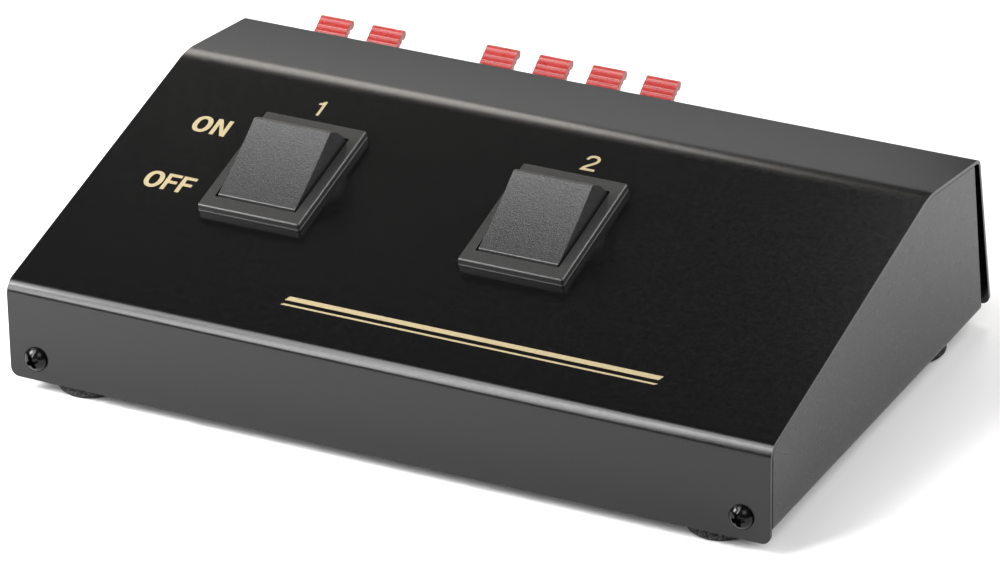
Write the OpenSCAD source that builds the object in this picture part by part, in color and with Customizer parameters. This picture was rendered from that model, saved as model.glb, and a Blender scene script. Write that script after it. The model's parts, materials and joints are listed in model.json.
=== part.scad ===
// Speaker selector switch: a wedge-shaped folded steel case with two rocker switches on its sloping
// panel and two spring-clip terminal plates on its rear wall. Millimetres, +Z up, front towards -Y.
// Inside the modules y = 0 is the front wall and z = 0 its lower edge; seated() moves the whole
// object so that it stands on z = 0 with the middle of its footprint on the origin.

/* [Case] */
// Width of the case
body_w = 180; // [170:1:200]
// Height of the front wall up to the first fold
front_h = 22.1; // [21:0.1:25]
// Depth of the sloping panel, measured level
slope_run = 81.1; // [79:0.1:88]
// Rise of the sloping panel
slope_rise = 21.8; // [20.5:0.1:24]
// Depth of the top panel, measured level
top_run = 28.2; // [27:0.1:34]
// Drop of the top panel towards the rear
top_drop = 3.5; // [1:0.1:4]
// How far the foot of the rear wall stands behind its upper edge
rear_lean = 7.9; // [6:0.1:10]
// Thickness of the cover sheet
sheet_t = 0.8; // [0.7:0.05:1]
// Outer radius of the fold between front wall and panel
front_fold_r = 3; // [2.4:0.1:4]
// Outer radius of the fold between panel and top
top_fold_r = 9; // [5:0.5:12]
// Outer radius of the fold between top and rear wall
rear_fold_r = 2.5; // [2:0.1:3.5]
// Corner radius of the lower corners of front and rear wall
corner_r = 2; // [1:0.1:3]

/* [Chassis] */
// Thickness of the chassis sheet
chassis_t = 1; // [0.8:0.1:1.2]
// Height of the chassis underside above the lower edge of the front wall
base_lift = 1.9; // [1.5:0.1:2.5]
// Distance of the cheek faces behind the ends of the cover
cheek_inset = 0.2; // [0.1:0.05:0.5]
// Gap between the cheek edges and the inside of the cover
cheek_gap = 0.2; // [0.15:0.05:0.4]
// Distance of the cheek's upper rear corner in front of the rear edge
cheek_back_top = 2.7; // [2.3:0.1:3.5]
// Distance of the cheek's lower rear corner in front of the foot of the rear wall
cheek_back_foot = 4.7; // [4:0.1:6]
// Width of the four screw tabs
tab_w = 11; // [9:0.5:14]
// Height of the four screw tabs
tab_h = 8; // [7.5:0.1:9]

/* [Screws and feet] */
// Distance of the case screws from the ends of the cover
screw_inset = 6.5; // [6:0.1:12]
// Height of the front screws above the lower edge of the front wall
screw_z = 5.2; // [5:0.1:6.5]
// Distance of the rear screws from the lower edge of the rear wall
rear_screw_up = 3.9; // [3.8:0.1:4]
// Radius of the screw shanks
screw_r = 1.45; // [1.3:0.05:1.5]
// Length of the screw shanks
screw_l = 5; // [4:0.5:7]
// Radius of the screw heads
head_r = 2.75; // [2.4:0.05:2.9]
// Height of the screw heads
head_h = 1.9; // [1.5:0.1:2.2]
// Radius of the feet
foot_r = 7.4; // [6:0.1:8]
// Depth of the feet below the lower edge of the front wall
foot_drop = 3.1; // [2:0.1:4]
// Distance of the front feet from the ends of the cover
front_foot_inset = 15; // [13:0.5:30]
// Distance of the front feet behind the front wall
front_foot_in = 8.6; // [8.5:0.1:12]
// Distance of the rear feet from the ends of the cover
rear_foot_inset = 10.3; // [9:0.1:30]
// Distance of the rear feet in front of the foot of the rear wall
rear_foot_in = 19.2; // [15:0.1:37]

/* [Rocker switches] */
// Middle of the first switch, from the left end of the cover
switch_1_at = 41.8; // [30:0.1:50]
// Middle of the second switch, from the left end of the cover
switch_2_at = 104.9; // [100:0.1:130]
// Middle of the switches, up the panel from the front fold
switch_v = 50.5; // [46:0.1:54]
// Width of the bezel
bezel_w = 25; // [24.6:0.1:27]
// Length of the bezel
bezel_l = 33.4; // [33:0.1:36]
// Height of the bezel above the panel
bezel_h = 2; // [1.4:0.1:2.2]
// Width of the rocker
rocker_w = 18.9; // [18.5:0.1:19.1]
// Length of the rocker's face
face_l = 20.3; // [19.5:0.1:20.4]
// Height of the rocker's face above its pivot
face_up = 8.6; // [8.3:0.1:8.8]
// Depth of the pivot below the panel
pivot_down = 2.95; // [2.7:0.05:3.2]
// Tilt of the rocker at either end of its travel
rocker_tilt = 18; // [15:0.5:18]
// Radius of the rocker's trunnions
rocker_pin_r = 1.5; // [1.2:0.05:1.7]
// Depth of the switch body below the panel
switch_depth = 17; // [16.8:0.1:18]
// Distance of each pole from the middle of the switch
pole_x = 5; // [4.8:0.1:5.2]
// Distance of the plunger tips from the pivot
plunger_l = 9.2; // [9:0.1:9.4]
// Radius of the plungers
plunger_r = 1.5; // [1.3:0.05:1.6]
// Width of the blade terminals
blade_w = 4.8; // [4:0.1:5.2]
// Thickness of the blade terminals
blade_t = 0.8; // [0.6:0.05:0.9]
// Length of the blade terminals below the switch body
blade_l = 6.5; // [5:0.5:8]

/* [Spring terminals] */
// Distance between neighbouring columns
column_pitch = 13.3; // [12.9:0.1:13.5]
// Distance between the upper and the lower row
row_pitch = 12.4; // [12.3:0.1:12.6]
// Middle of the two input columns, from the left end of the cover
input_at = 23; // [22.8:0.1:24]
// Gap between the flanges of the two terminal bodies
plate_gap = 4.9; // [1:0.1:25]
// Gap between the rear screw tabs and the terminal bodies above them
terminal_gap = 0.48; // [0.15:0.01:0.6]
// Height of the output terminals above the input terminals, up the wall
output_raise = 0.7; // [0:0.1:1]
// Thickness of the terminal plates
plate_t = 2.2; // [1.8:0.1:2.4]
// Width of the levers
lever_w = 7.8; // [7:0.1:8]
// Length of the levers from pivot to tip
lever_l = 16.5; // [15:0.1:17]
// Thickness of the lever tongues
lever_t = 1.5; // [1.3:0.05:1.6]
// Angle of the resting levers from square to the wall
lever_rest = 23.4; // [21:0.1:24]
// Travel of the levers
lever_travel = 22; // [18:0.5:22]
// Radius of the lever trunnions
lever_pin_r = 1; // [0.8:0.05:1.1]
// Depth of the lever pivots behind the wall's outer face
lever_in = 3; // [2.9:0.1:3.1]
// Radius of the wire holes
wire_hole_r = 1.4; // [1.2:0.05:1.4]
// Radius of the rivet shanks
rivet_r = 1.5; // [1.2:0.05:1.6]

/* [Wiring] */
// Radius of the wires over their insulation
wire_r = 0.8; // [0.6:0.05:0.9]

/* [Hidden] */
$fn = 64;

// Clearance of pieces that only pass each other
slack = 0.2;
// Clearance of a pin running in its bore
running = 0.05;
// Length by which a cut runs past the face it opens
past = 1;
// Length by which a raised form reaches into what it stands on
root = 0.5;
// Amount by which a rounding's circle is larger, so that it crosses the flats and doesn't only touch
ease = 0.002;

// ---- Side profile of the case, as [y, z] points of the cover's outer face, folds unrounded ----
front_foot = [0, 0];
front_edge = [0, front_h];
panel_edge = [slope_run, front_h + slope_rise];
rear_edge = [slope_run + top_run, front_h + slope_rise - top_drop];
rear_foot = [slope_run + top_run + rear_lean, base_lift];
profile = [front_foot, front_edge, panel_edge, rear_edge, rear_foot];
fold_radii = [front_fold_r, top_fold_r, rear_fold_r];

panel_a = atan2(slope_rise, slope_run);
wall_a = atan2(rear_lean, rear_edge[1] - rear_foot[1]);
wall_l = norm(rear_foot - rear_edge);

function unit(v) = v / norm(v);
function left(v) = [-v[1], v[0]];
function mitre(a, b) = let(n = unit(left(a) + left(b))) n / (n * left(a));
// A path moved sideways by d, to its left where d is positive, its corners kept sharp
function shifted(p, d) = [
    for (i = [0:len(p) - 1])
        p[i] + d * (
            i == 0 ? left(unit(p[1] - p[0]))
            : i == len(p) - 1 ? left(unit(p[i] - p[i - 1]))
            : mitre(unit(p[i] - p[i - 1]), unit(p[i + 1] - p[i]))
        )
];
function reversed(p) = [for (i = [len(p) - 1:-1:0]) p[i]];
// A strip of thickness t along a path
function strip(p, t) = concat(shifted(p, t / 2), reversed(shifted(p, -t / 2)));
// Height of the line through a and b at y
function line_z(a, b, y) = a[1] + (b[1] - a[1]) * (y - a[0]) / (b[0] - a[0]);

// ---- Places across the case, from its middle plane ----
screw_x = body_w / 2 - screw_inset;
front_foot_x = body_w / 2 - front_foot_inset;
rear_foot_x = body_w / 2 - rear_foot_inset;
rear_foot_y = rear_foot[0] - rear_foot_in;
switch_1_x = switch_1_at - body_w / 2;
switch_2_x = switch_2_at - body_w / 2;
input_x = input_at - body_w / 2;

// ---- Points on the panel and on the rear wall, in case coordinates ----
// On the panel: x across, v up the slope from the front fold, h out of the panel
function on_panel_point(x, v, h) = [
    x,
    v * cos(panel_a) - h * sin(panel_a),
    front_h + v * sin(panel_a) + h * cos(panel_a)
];
// On the rear wall: x across, d down the wall from the rear edge, n out of the wall
function on_wall_point(x, d, n) = [
    x,
    rear_edge[0] + d * sin(wall_a) + n * cos(wall_a),
    rear_edge[1] - d * cos(wall_a) + n * sin(wall_a)
];
panel_out = [0, -sin(panel_a), cos(panel_a)];
wall_out = [0, cos(wall_a), sin(wall_a)];
wall_up = [0, -sin(wall_a), cos(wall_a)];

// ---- Places of the spring terminals: two rows of cells, each around the pivot of its lever ----
cell_top = 4.5;
cell_bottom = -5.75;
cell_wall = 0.8;
cell_gap = 0.4;
cell_w = lever_w + 2 * cell_gap;
plate_rim = 1.2;
ear_w = 5.5;
input_columns = 2;
output_columns = 4;
// Distance of the upper lever pivots from the rear edge, down the wall
lever_drop = wall_l - tab_h / cos(wall_a) - terminal_gap - cell_wall + cell_bottom - row_pitch;
terminal_h = row_pitch + cell_top - cell_bottom + 2 * cell_wall;
terminal_mid = (cell_top + cell_bottom - row_pitch) / 2;
function terminal_w(columns) = columns * column_pitch;
function plate_w(columns) = terminal_w(columns) + 2 * ear_w;
function rivet_x(columns) = (terminal_w(columns) + ear_w) / 2;
function column_x(columns, i) = (i - (columns - 1) / 2) * column_pitch;
output_x = input_x + (plate_w(input_columns) + plate_w(output_columns)) / 2 + plate_gap;
// Each group: its middle, its number of columns and the place of its upper pivots down the wall
input_group = [input_x, input_columns, lever_drop];
output_group = [output_x, output_columns, lever_drop - output_raise];
function plate_d(group) = group[2] - terminal_mid;

// ---- Footprint: from the front screw heads to the beads of the lower levers ----
bead_r = 1.1;
// Height of the bead's upper edge above the tongue's upper face
bead_lift = 0.05;
bead_y = lever_t / 2 - bead_r + bead_lift;
lever_along = cos(lever_rest) * wall_out + sin(lever_rest) * wall_up;
lever_above = cos(lever_rest) * wall_up - sin(lever_rest) * wall_out;
lower_bead = on_wall_point(0, lever_drop + row_pitch, -lever_in)
    + (lever_l - bead_r) * lever_along
    + bead_y * lever_above;
middle_y = (lower_bead[1] + bead_r - head_h) / 2;

module seated() {
    translate([0, -middle_y, foot_drop])
        children();
}
module on_panel(x) {
    translate(on_panel_point(x, switch_v, 0))
        rotate([panel_a, 0, 0])
            children();
}
// Local x runs towards -X, local y up the wall and local z out of it
module on_wall(x, d) {
    translate(on_wall_point(x, d, 0))
        rotate([90 - wall_a, 0, 180])
            children();
}
// Stands a side profile up: its x becomes y and its y becomes z
module across(w) {
    rotate([90, 0, 90])
        translate([0, 0, -w / 2])
            linear_extrude(w)
                children();
}
module both_sides() {
    children();
    mirror([1, 0, 0])
        children();
}

// ---- Folded outline: the corner waste outside each fold is taken off ----
module fold_waste(before, corner, after, r) {
    u = unit(before - corner);
    w = unit(after - corner);
    half = acos(u * w) / 2;
    centre = corner + unit(u + w) * r / sin(half);
    difference() {
        polygon([
            corner + u * r / tan(half),
            corner - unit(u + w) * past,
            corner + w * r / tan(half),
            centre
        ]);
        translate(centre)
            circle(r + ease, $fn = 180);
    }
}
module folded(path, closing, radii, shrink) {
    difference() {
        polygon(concat(path, closing));
        for (i = [0:len(radii) - 1])
            if (radii[i] > shrink)
                fold_waste(path[i], path[i + 1], path[i + 2], radii[i] - shrink);
    }
}
// Length of the cut that rounds a corner of the sheet
waste_t = sheet_t + 3 * past;
// Rounds the lower corners of an upright wall that is w wide, cut along local z
module corner_waste(w, r) {
    both_sides()
        translate([w / 2 - r, 0, 0])
            difference() {
                translate([0, -past, 0])
                    cube([r + past, r + past, waste_t]);
                translate([0, r, -past])
                    cylinder(h = waste_t + 2 * past, r = r + ease);
            }
}

// ---- Cover ----
inner_profile = shifted(profile, -sheet_t);
rocker_r = norm([face_l / 2, face_up]);
// Room beside the rocker and at either end of its face in the opening of the bezel
rocker_side_gap = 0.45;
bezel_hole_l = 26.5;
bezel_hole_w = rocker_w + 2 * rocker_side_gap;
housing_wall = 1;
// Room between the sweep of the rocker's ends and the end walls of the housing
sweep_gap = 0.2;
cavity_l = 2 * (rocker_r + sweep_gap);
switch_body_w = bezel_hole_w + 2 * housing_wall;
switch_body_l = cavity_l + 2 * housing_wall;

module cover() {
    color([0.16, 0.16, 0.17])
        difference() {
            across(body_w)
                difference() {
                    folded(profile, [rear_foot - [past, 0], front_foot + [past, 0]], fold_radii, 0);
                    folded(
                        inner_profile,
                        [inner_profile[4] - [0, 3 * past], inner_profile[0] - [0, 3 * past]],
                        fold_radii, sheet_t
                    );
                }
            for (x = [switch_1_x, switch_2_x])
                on_panel(x)
                    translate([-switch_body_w / 2 - slack, -switch_body_l / 2 - slack, -sheet_t - past])
                        cube([
                            switch_body_w + 2 * slack,
                            switch_body_l + 2 * slack,
                            sheet_t + 2 * past
                        ]);
            terminal_window(input_group);
            terminal_window(output_group);
            both_sides()
                translate([screw_x, -past, screw_z])
                    rotate([-90, 0, 0])
                        cylinder(h = sheet_t + 2 * past, r = screw_r + slack);
            both_sides()
                on_wall(screw_x, wall_l - rear_screw_up)
                    translate([0, 0, -sheet_t - past])
                        cylinder(h = sheet_t + 2 * past, r = screw_r + slack);
            rotate([90, 0, 0])
                translate([0, 0, -2 * past])
                    corner_waste(body_w, corner_r);
            on_wall(0, wall_l)
                translate([0, 0, -2 * past])
                    corner_waste(body_w, corner_r);
        }
}
module terminal_window(group) {
    w = terminal_w(group[1]) + 2 * slack;
    h = terminal_h + 2 * slack;
    on_wall(group[0], plate_d(group)) {
        translate([-w / 2, -h / 2, -sheet_t - past])
            cube([w, h, sheet_t + 2 * past]);
        for (s = [-1, 1])
            translate([s * rivet_x(group[1]), 0, -sheet_t - past])
                cylinder(h = sheet_t + 2 * past, r = rivet_r + running);
    }
}

// ---- Chassis: base plate, two cheeks and four screw tabs, folded from one sheet ----
cheek_profile = shifted(profile, -sheet_t - cheek_gap);
cheek_x = body_w / 2 - cheek_inset;
cheek_rear_y = rear_edge[0] - cheek_back_top;
cheek_corner = [cheek_rear_y, line_z(cheek_profile[2], cheek_profile[3], cheek_rear_y)];
cheek_foot = [rear_foot[0] - cheek_back_foot, base_lift];
cheek_foot_r = 1.5;
cheek_shrink = sheet_t + cheek_gap;
base_front = cheek_profile[0][0];
base_rear = cheek_foot[0] - cheek_foot_r;
rear_tab_gap = sheet_t + slack;
// Relief between the screw tabs and the inner faces of the cheeks
tab_relief = 0.7;
tab_x = cheek_x - chassis_t - tab_relief - tab_w;

module cheek_outline() {
    path = [
        [base_front, base_lift],
        cheek_profile[1],
        cheek_profile[2],
        cheek_corner,
        cheek_foot,
        [base_front, base_lift]
    ];
    folded(path, [], [front_fold_r, top_fold_r, 0, cheek_shrink + cheek_foot_r], cheek_shrink);
}
module chassis() {
    color([0.17, 0.17, 0.18])
        difference() {
            union() {
                translate([-cheek_x, base_front, base_lift])
                    cube([2 * cheek_x, base_rear - base_front, chassis_t]);
                both_sides()
                    translate([cheek_x - chassis_t / 2, 0, 0])
                        across(chassis_t)
                            cheek_outline();
                both_sides()
                    translate([tab_x, base_front, base_lift])
                        cube([tab_w, chassis_t, tab_h]);
                both_sides()
                    rear_tab();
            }
            both_sides()
                translate([screw_x, base_front - past, screw_z])
                    rotate([-90, 0, 0])
                        cylinder(h = chassis_t + 2 * past, r = screw_r + running);
            both_sides()
                on_wall(screw_x, wall_l - rear_screw_up)
                    translate([0, 0, -rear_tab_gap - chassis_t - past])
                        cylinder(h = chassis_t + 2 * past, r = screw_r + running);
        }
}
module rear_tab() {
    intersection() {
        union() {
            on_wall(tab_x + tab_w / 2, wall_l)
                translate([-tab_w / 2, -past, -rear_tab_gap - chassis_t])
                    cube([tab_w, tab_h + past, chassis_t]);
            translate([tab_x, base_rear - past, base_lift])
                cube([tab_w, cheek_back_foot + past, chassis_t]);
        }
        translate([0, base_rear - past, base_lift])
            cube([body_w, on_wall_point(0, wall_l, -rear_tab_gap)[1] - base_rear + past, tab_h]);
    }
}

// ---- Case screws: pan heads with a cross recess ----
recess_w = 1;
recess_l = 3.6;
recess_d = 1.2;
head_flat_r = 1;
head_rim_h = 0.4;
// Height of the dome's centre, so that it runs from the rim to the flat on top
dome_z = (pow(head_flat_r, 2) + pow(head_h, 2) - pow(head_r, 2) - pow(head_rim_h, 2))
    / (2 * (head_h - head_rim_h));
dome_r = norm([head_flat_r, head_h - dome_z]);
module case_screw() {
    difference() {
        union() {
            translate([0, 0, -screw_l])
                cylinder(h = screw_l + head_h / 2, r = screw_r);
            intersection() {
                cylinder(h = head_h, r = head_r);
                translate([0, 0, dome_z])
                    sphere(dome_r, $fn = 96);
            }
        }
        for (a = [0, 90])
            rotate(a)
                translate([-recess_l / 2, -recess_w / 2, head_h - recess_d])
                    cube([recess_l, recess_w, recess_d + past]);
    }
}
module front_screws() {
    color([0.05, 0.05, 0.05])
        both_sides()
            translate([screw_x, 0, screw_z])
                rotate([90, 0, 0])
                    case_screw();
}
module rear_screws() {
    color([0.05, 0.05, 0.05])
        both_sides()
            on_wall(screw_x, wall_l - rear_screw_up)
                case_screw();
}

// ---- Feet: round rubber pads with a rounded lower edge ----
foot_edge_r = 1.2;
module foot(x, y) {
    foot_h = foot_drop + base_lift;
    color([0.08, 0.08, 0.08])
        translate([x, y, -foot_drop])
            rotate_extrude($fn = 96) {
                translate([0, foot_edge_r])
                    square([foot_r, foot_h - foot_edge_r]);
                square([foot_r - foot_edge_r, foot_edge_r + root]);
                translate([foot_r - foot_edge_r, foot_edge_r])
                    intersection() {
                        circle(foot_edge_r);
                        translate([0, -foot_edge_r])
                            square([foot_edge_r, 2 * foot_edge_r]);
                    }
            }
}

// ---- Rocker switch, in panel coordinates: y up the slope, z out of the panel ----
bezel_corner_r = 0.5;
bezel_chamfer = 0.3;
floor_t = 1.5;
// Thickness of the bezel's inner edge, below which the housing widens for the rocker's sweep
lip_t = bezel_h + 0.4;
barb_out = 0.7;
barb_l = 6;
// Width of a barb's catch and length of its whole ramp
barb_catch = 0.5;
barb_ramp = 5;
barb_root = 0.2;
// Gap between the catch of a barb and the underside of the sheet
barb_gap = 0.1;
// Distance of the arms' axis below the plungers' tips
tip_room = 0.74;
arm_pivot = [0, -pivot_down - plunger_l - tip_room];
arm_rest = 10.8;
wing_a = 20;
wing_l = 7.2;
arm_w = 3.6;
arm_t = 0.8;
arm_pin_r = 0.45;
button_r = 1.2;
button_h = 0.5;
button_at = 6;
ear_t = 0.8;
ear_l = 3.2;
yoke_t = 0.6;
// Height of the yoke's ears above the axis of the arms
ear_rise = 0.1;
solder_hole_r = 0.8;
solder_hole_up = 2;

module rounded_plate(w, l, h, r) {
    linear_extrude(h) {
        square([w - 2 * r, l], center = true);
        square([w, l - 2 * r], center = true);
        for (sx = [-1, 1], sy = [-1, 1])
            translate([sx * (w / 2 - r), sy * (l / 2 - r)])
                circle(r);
    }
}
module bezel_edge_waste(w, l) {
    for (a = [0, 180])
        rotate(a)
            translate([w / 2, 0, bezel_h])
                rotate([0, 45, 0])
                    cube([bezel_chamfer * sqrt(2), l + past, bezel_chamfer * sqrt(2)], center = true);
}
module barb() {
    translate([switch_body_w / 2, 0, -sheet_t - barb_gap])
        rotate([90, 0, 0])
            translate([0, 0, -barb_l / 2])
                linear_extrude(barb_l)
                    polygon([
                        [-barb_root, 0], [barb_out, 0], [barb_out, -barb_catch],
                        [0, -barb_ramp], [-barb_root, -barb_ramp]
                    ]);
}
module switch_housing() {
    color([0.13, 0.13, 0.13])
        difference() {
            union() {
                difference() {
                    rounded_plate(bezel_w, bezel_l, bezel_h, bezel_corner_r);
                    bezel_edge_waste(bezel_w, bezel_l);
                    rotate(90)
                        bezel_edge_waste(bezel_l, bezel_w);
                }
                translate([-switch_body_w / 2, -switch_body_l / 2, -switch_depth])
                    cube([switch_body_w, switch_body_l, switch_depth + root]);
                both_sides()
                    for (y = [-1, 1] * switch_body_l / 4)
                        translate([0, y, 0])
                            barb();
            }
            translate([-bezel_hole_w / 2, -bezel_hole_l / 2, -past])
                cube([bezel_hole_w, bezel_hole_l, bezel_h + 2 * past]);
            translate([-bezel_hole_w / 2, -cavity_l / 2, -switch_depth + floor_t])
                cube([bezel_hole_w, cavity_l, switch_depth - floor_t + bezel_h - lip_t]);
            translate([-switch_body_w, 0, -pivot_down])
                rotate([0, 90, 0])
                    cylinder(h = 2 * switch_body_w, r = rocker_pin_r + running);
            for (x = [-pole_x, pole_x], y = [0, on_blade_y])
                translate([x - blade_w / 2 - running, y - blade_t / 2 - running, -switch_depth - past])
                    cube([blade_w + 2 * running, blade_t + 2 * running, floor_t + 2 * past]);
        }
}
// Place of the on terminals' blades, down the panel from the pivot
on_blade_y = -10;

// The rocker at mid travel about its pivot, then turned to its resting tilt
skirt_a = -8;
skin = 1.3;
post_r = 2.6;
trunnion_l = 1.3;
face_hollow = 0.3;
face_hollow_r = (face_l * face_l / 4 + face_hollow * face_hollow) / (2 * face_hollow);
post_end = 3;
keel_w = 6;
module rocker_section(r, top, low) {
    corner = [r * cos(skirt_a), r * sin(skirt_a)];
    half_face = sqrt(r * r - top * top);
    intersection() {
        circle(r, $fn = 180);
        polygon([
            [-half_face, top], [half_face, top],
            [r + past, top - past], [r + past, corner[1]],
            [corner[0], corner[1]], [keel_w / 2, low], [-keel_w / 2, low],
            [-corner[0], corner[1]], [-r - past, corner[1]], [-r - past, top - past]
        ]);
    }
}
module at_pivot(tilt) {
    translate([0, 0, -pivot_down])
        rotate([tilt, 0, 0])
            children();
}
module switch_rocker() {
    color([0.30, 0.30, 0.31])
        at_pivot(rocker_tilt)
            difference() {
                union() {
                    difference() {
                        across(rocker_w)
                            rocker_section(rocker_r, face_up, -post_end);
                        across(rocker_w - 2 * skin)
                            rocker_section(rocker_r - skin, face_up - skin - face_hollow, -post_end - past);
                    }
                    both_sides()
                        translate([rocker_w / 2 - skin, 0, 0])
                            rotate([0, 90, 0])
                                cylinder(h = skin + trunnion_l, r = rocker_pin_r);
                    for (x = [-pole_x, pole_x])
                        translate([x, 0, -post_end])
                            cylinder(h = post_end + face_up - skin, r = post_r);
                }
                translate([0, 0, face_up + face_hollow_r - face_hollow])
                    rotate([0, 90, 0])
                        cylinder(h = rocker_w + past, r = face_hollow_r, center = true, $fn = 720);
                for (x = [-pole_x, pole_x])
                    translate([x, 0, -post_end - past])
                        cylinder(h = post_end + past + spring_top, r = plunger_r + running);
            }
}
spring_top = 5.5;
plunger_top = -1.5;
module switch_plungers() {
    color([0.85, 0.84, 0.80])
        at_pivot(rocker_tilt)
            for (x = [-pole_x, pole_x])
                translate([x, 0, 0]) {
                    translate([0, 0, plunger_r - plunger_l])
                        cylinder(h = plunger_top + plunger_l - plunger_r, r = plunger_r);
                    translate([0, 0, plunger_r - plunger_l])
                        sphere(plunger_r);
                }
}

// ---- Swept tubes ----
// Directions square to a path, each turned as little as possible from the one before
function tangents(p, first, last) = [
    for (i = [0:len(p) - 1])
        i == 0 ? first : i == len(p) - 1 ? last : unit(p[i + 1] - p[i - 1])
];
function square_to(n, t) = unit(n - (n * t) * t);
function normals(t, start) = [
    for (i = 0, n = square_to(start, t[0]); i < len(t); i = i + 1, n = square_to(n, t[min(i, len(t) - 1)]))
        n
];
// Side from which the first ring of a tube is counted; no path starts along it
ring_start = [1, 0.1, 0.2];
// A tube along the points p, whose ends stand square to the directions first and last
module tube(p, r, sides, first, last) {
    t = tangents(p, unit(first), unit(last));
    n = normals(t, ring_start);
    rings = len(p);
    points = [
        for (i = [0:rings - 1], k = [0:sides - 1])
            p[i] + r * (cos(360 * k / sides) * n[i] + sin(360 * k / sides) * cross(t[i], n[i]))
    ];
    walls = [
        for (i = [0:rings - 2], k = [0:sides - 1])
            let(a = i * sides + k, b = i * sides + (k + 1) % sides)
                each [[a, a + sides, b], [b, a + sides, b + sides]]
    ];
    near_cap = [for (k = [1:sides - 2]) [0, k, k + 1]];
    far_cap = [for (k = [1:sides - 2]) [0, k + 1, k] + (rings - 1) * sides * [1, 1, 1]];
    polyhedron(points, concat(walls, near_cap, far_cap), convexity = 10);
}

// ---- Plunger springs: open coils standing on the plungers inside the rocker's posts ----
spring_r = 1.1;
spring_wire_r = 0.18;
spring_turns = 5;
rings_per_turn = 8;
spring_low = plunger_top + spring_wire_r + running;
spring_high = spring_top - spring_wire_r - running;
spring_steps = spring_turns * rings_per_turn;
spring_path = [
    for (i = [0:spring_steps])
        let(a = 360 * i / rings_per_turn)
            [
                spring_r * cos(a),
                spring_r * sin(a),
                spring_low + (spring_high - spring_low) * i / spring_steps
            ]
];
module switch_plunger_springs() {
    color([0.75, 0.75, 0.76])
        at_pivot(rocker_tilt)
            for (x = [-pole_x, pole_x])
                translate([x, 0, 0])
                    tube(
                        spring_path, spring_wire_r, 5,
                        spring_path[1] - spring_path[0],
                        spring_path[spring_steps] - spring_path[spring_steps - 1]
                    );
}

// ---- Contact arms: each rocks on the notched ears of its common terminal ----
module at_arm(turn) {
    translate([0, arm_pivot[0], arm_pivot[1]])
        rotate([turn, 0, 0])
            children();
}
wing = [
    [-wing_l * cos(wing_a), wing_l * sin(wing_a)],
    [0, 0],
    [wing_l * cos(wing_a), wing_l * sin(wing_a)]
];
module switch_contact_arms() {
    color([0.78, 0.52, 0.30])
        for (x = [-pole_x, pole_x])
            translate([x, 0, 0])
                at_arm(-arm_rest) {
                    across(arm_w)
                        polygon(strip(wing, arm_t));
                    rotate([0, 90, 0])
                        cylinder(h = arm_w + 2 * (slack + ear_t), r = arm_pin_r, center = true);
                    rotate([-wing_a, 0, 0])
                        translate([0, -button_at, -arm_t / 2 - button_h])
                            cylinder(h = button_h + arm_t / 2, r = button_r);
                }
}
ear_top = arm_pivot[1] + ear_rise;
module switch_common_terminals() {
    color([0.80, 0.70, 0.42])
        for (x = [-pole_x, pole_x])
            translate([x, 0, 0])
                difference() {
                    union() {
                        translate([-blade_w / 2, -blade_t / 2, -switch_depth - blade_l])
                            cube([blade_w, blade_t, blade_l + floor_t + yoke_t]);
                        for (s = [-1, 1])
                            translate([
                                s * (arm_w / 2 + slack + ear_t / 2) - ear_t / 2, -ear_l / 2,
                                -switch_depth + floor_t
                            ])
                                cube([ear_t, ear_l, ear_top + switch_depth - floor_t]);
                        translate([-arm_w / 2 - slack - ear_t, -ear_l / 2, -switch_depth + floor_t])
                            cube([arm_w + 2 * slack + 2 * ear_t, ear_l, yoke_t]);
                    }
                    translate([0, arm_pivot[0], arm_pivot[1]])
                        rotate([0, 90, 0])
                            cylinder(h = 2 * blade_w, r = arm_pin_r + running, center = true);
                    translate([0, 0, -switch_depth - blade_l + solder_hole_up])
                        rotate([90, 0, 0])
                            cylinder(h = 2 * blade_t, r = solder_hole_r, center = true);
                }
}
// Gap left between the two buttons when the rocker is at its other end
contact_gap = 0.1;
// Height of the on terminal's button, under the lower edge of the arm's button at that end
contact_top = arm_pivot[1]
    + button_at * sin(wing_a - arm_rest)
    - (arm_t / 2 + button_h) * cos(wing_a - arm_rest)
    - button_r * sin(wing_a - arm_rest) - contact_gap;
// Place of the on terminal's button, down the panel from the pivot
contact_y = -button_at * cos(wing_a - arm_rest) - (arm_t / 2 + button_h) * sin(wing_a - arm_rest);
module switch_on_terminals() {
    color([0.80, 0.70, 0.42])
        for (x = [-pole_x, pole_x])
            translate([x, 0, 0])
                difference() {
                    union() {
                        translate([-blade_w / 2, on_blade_y - blade_t / 2, -switch_depth - blade_l])
                            cube([blade_w, blade_t, contact_top - button_h + switch_depth + blade_l]);
                        translate([-arm_w / 2, on_blade_y, contact_top - button_h - blade_t])
                            cube([arm_w, contact_y - on_blade_y + button_r, blade_t]);
                        translate([0, contact_y, contact_top - button_h - blade_t / 2])
                            cylinder(h = button_h + blade_t / 2, r = button_r);
                    }
                    translate([0, on_blade_y, -switch_depth - blade_l + solder_hole_up])
                        rotate([90, 0, 0])
                            cylinder(h = 2 * blade_t, r = solder_hole_r, center = true);
                }
}

// ---- Spring terminals, in cell coordinates: y up the wall from the lever's pivot, z out of it ----
tongue_gap = 0.4;
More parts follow.
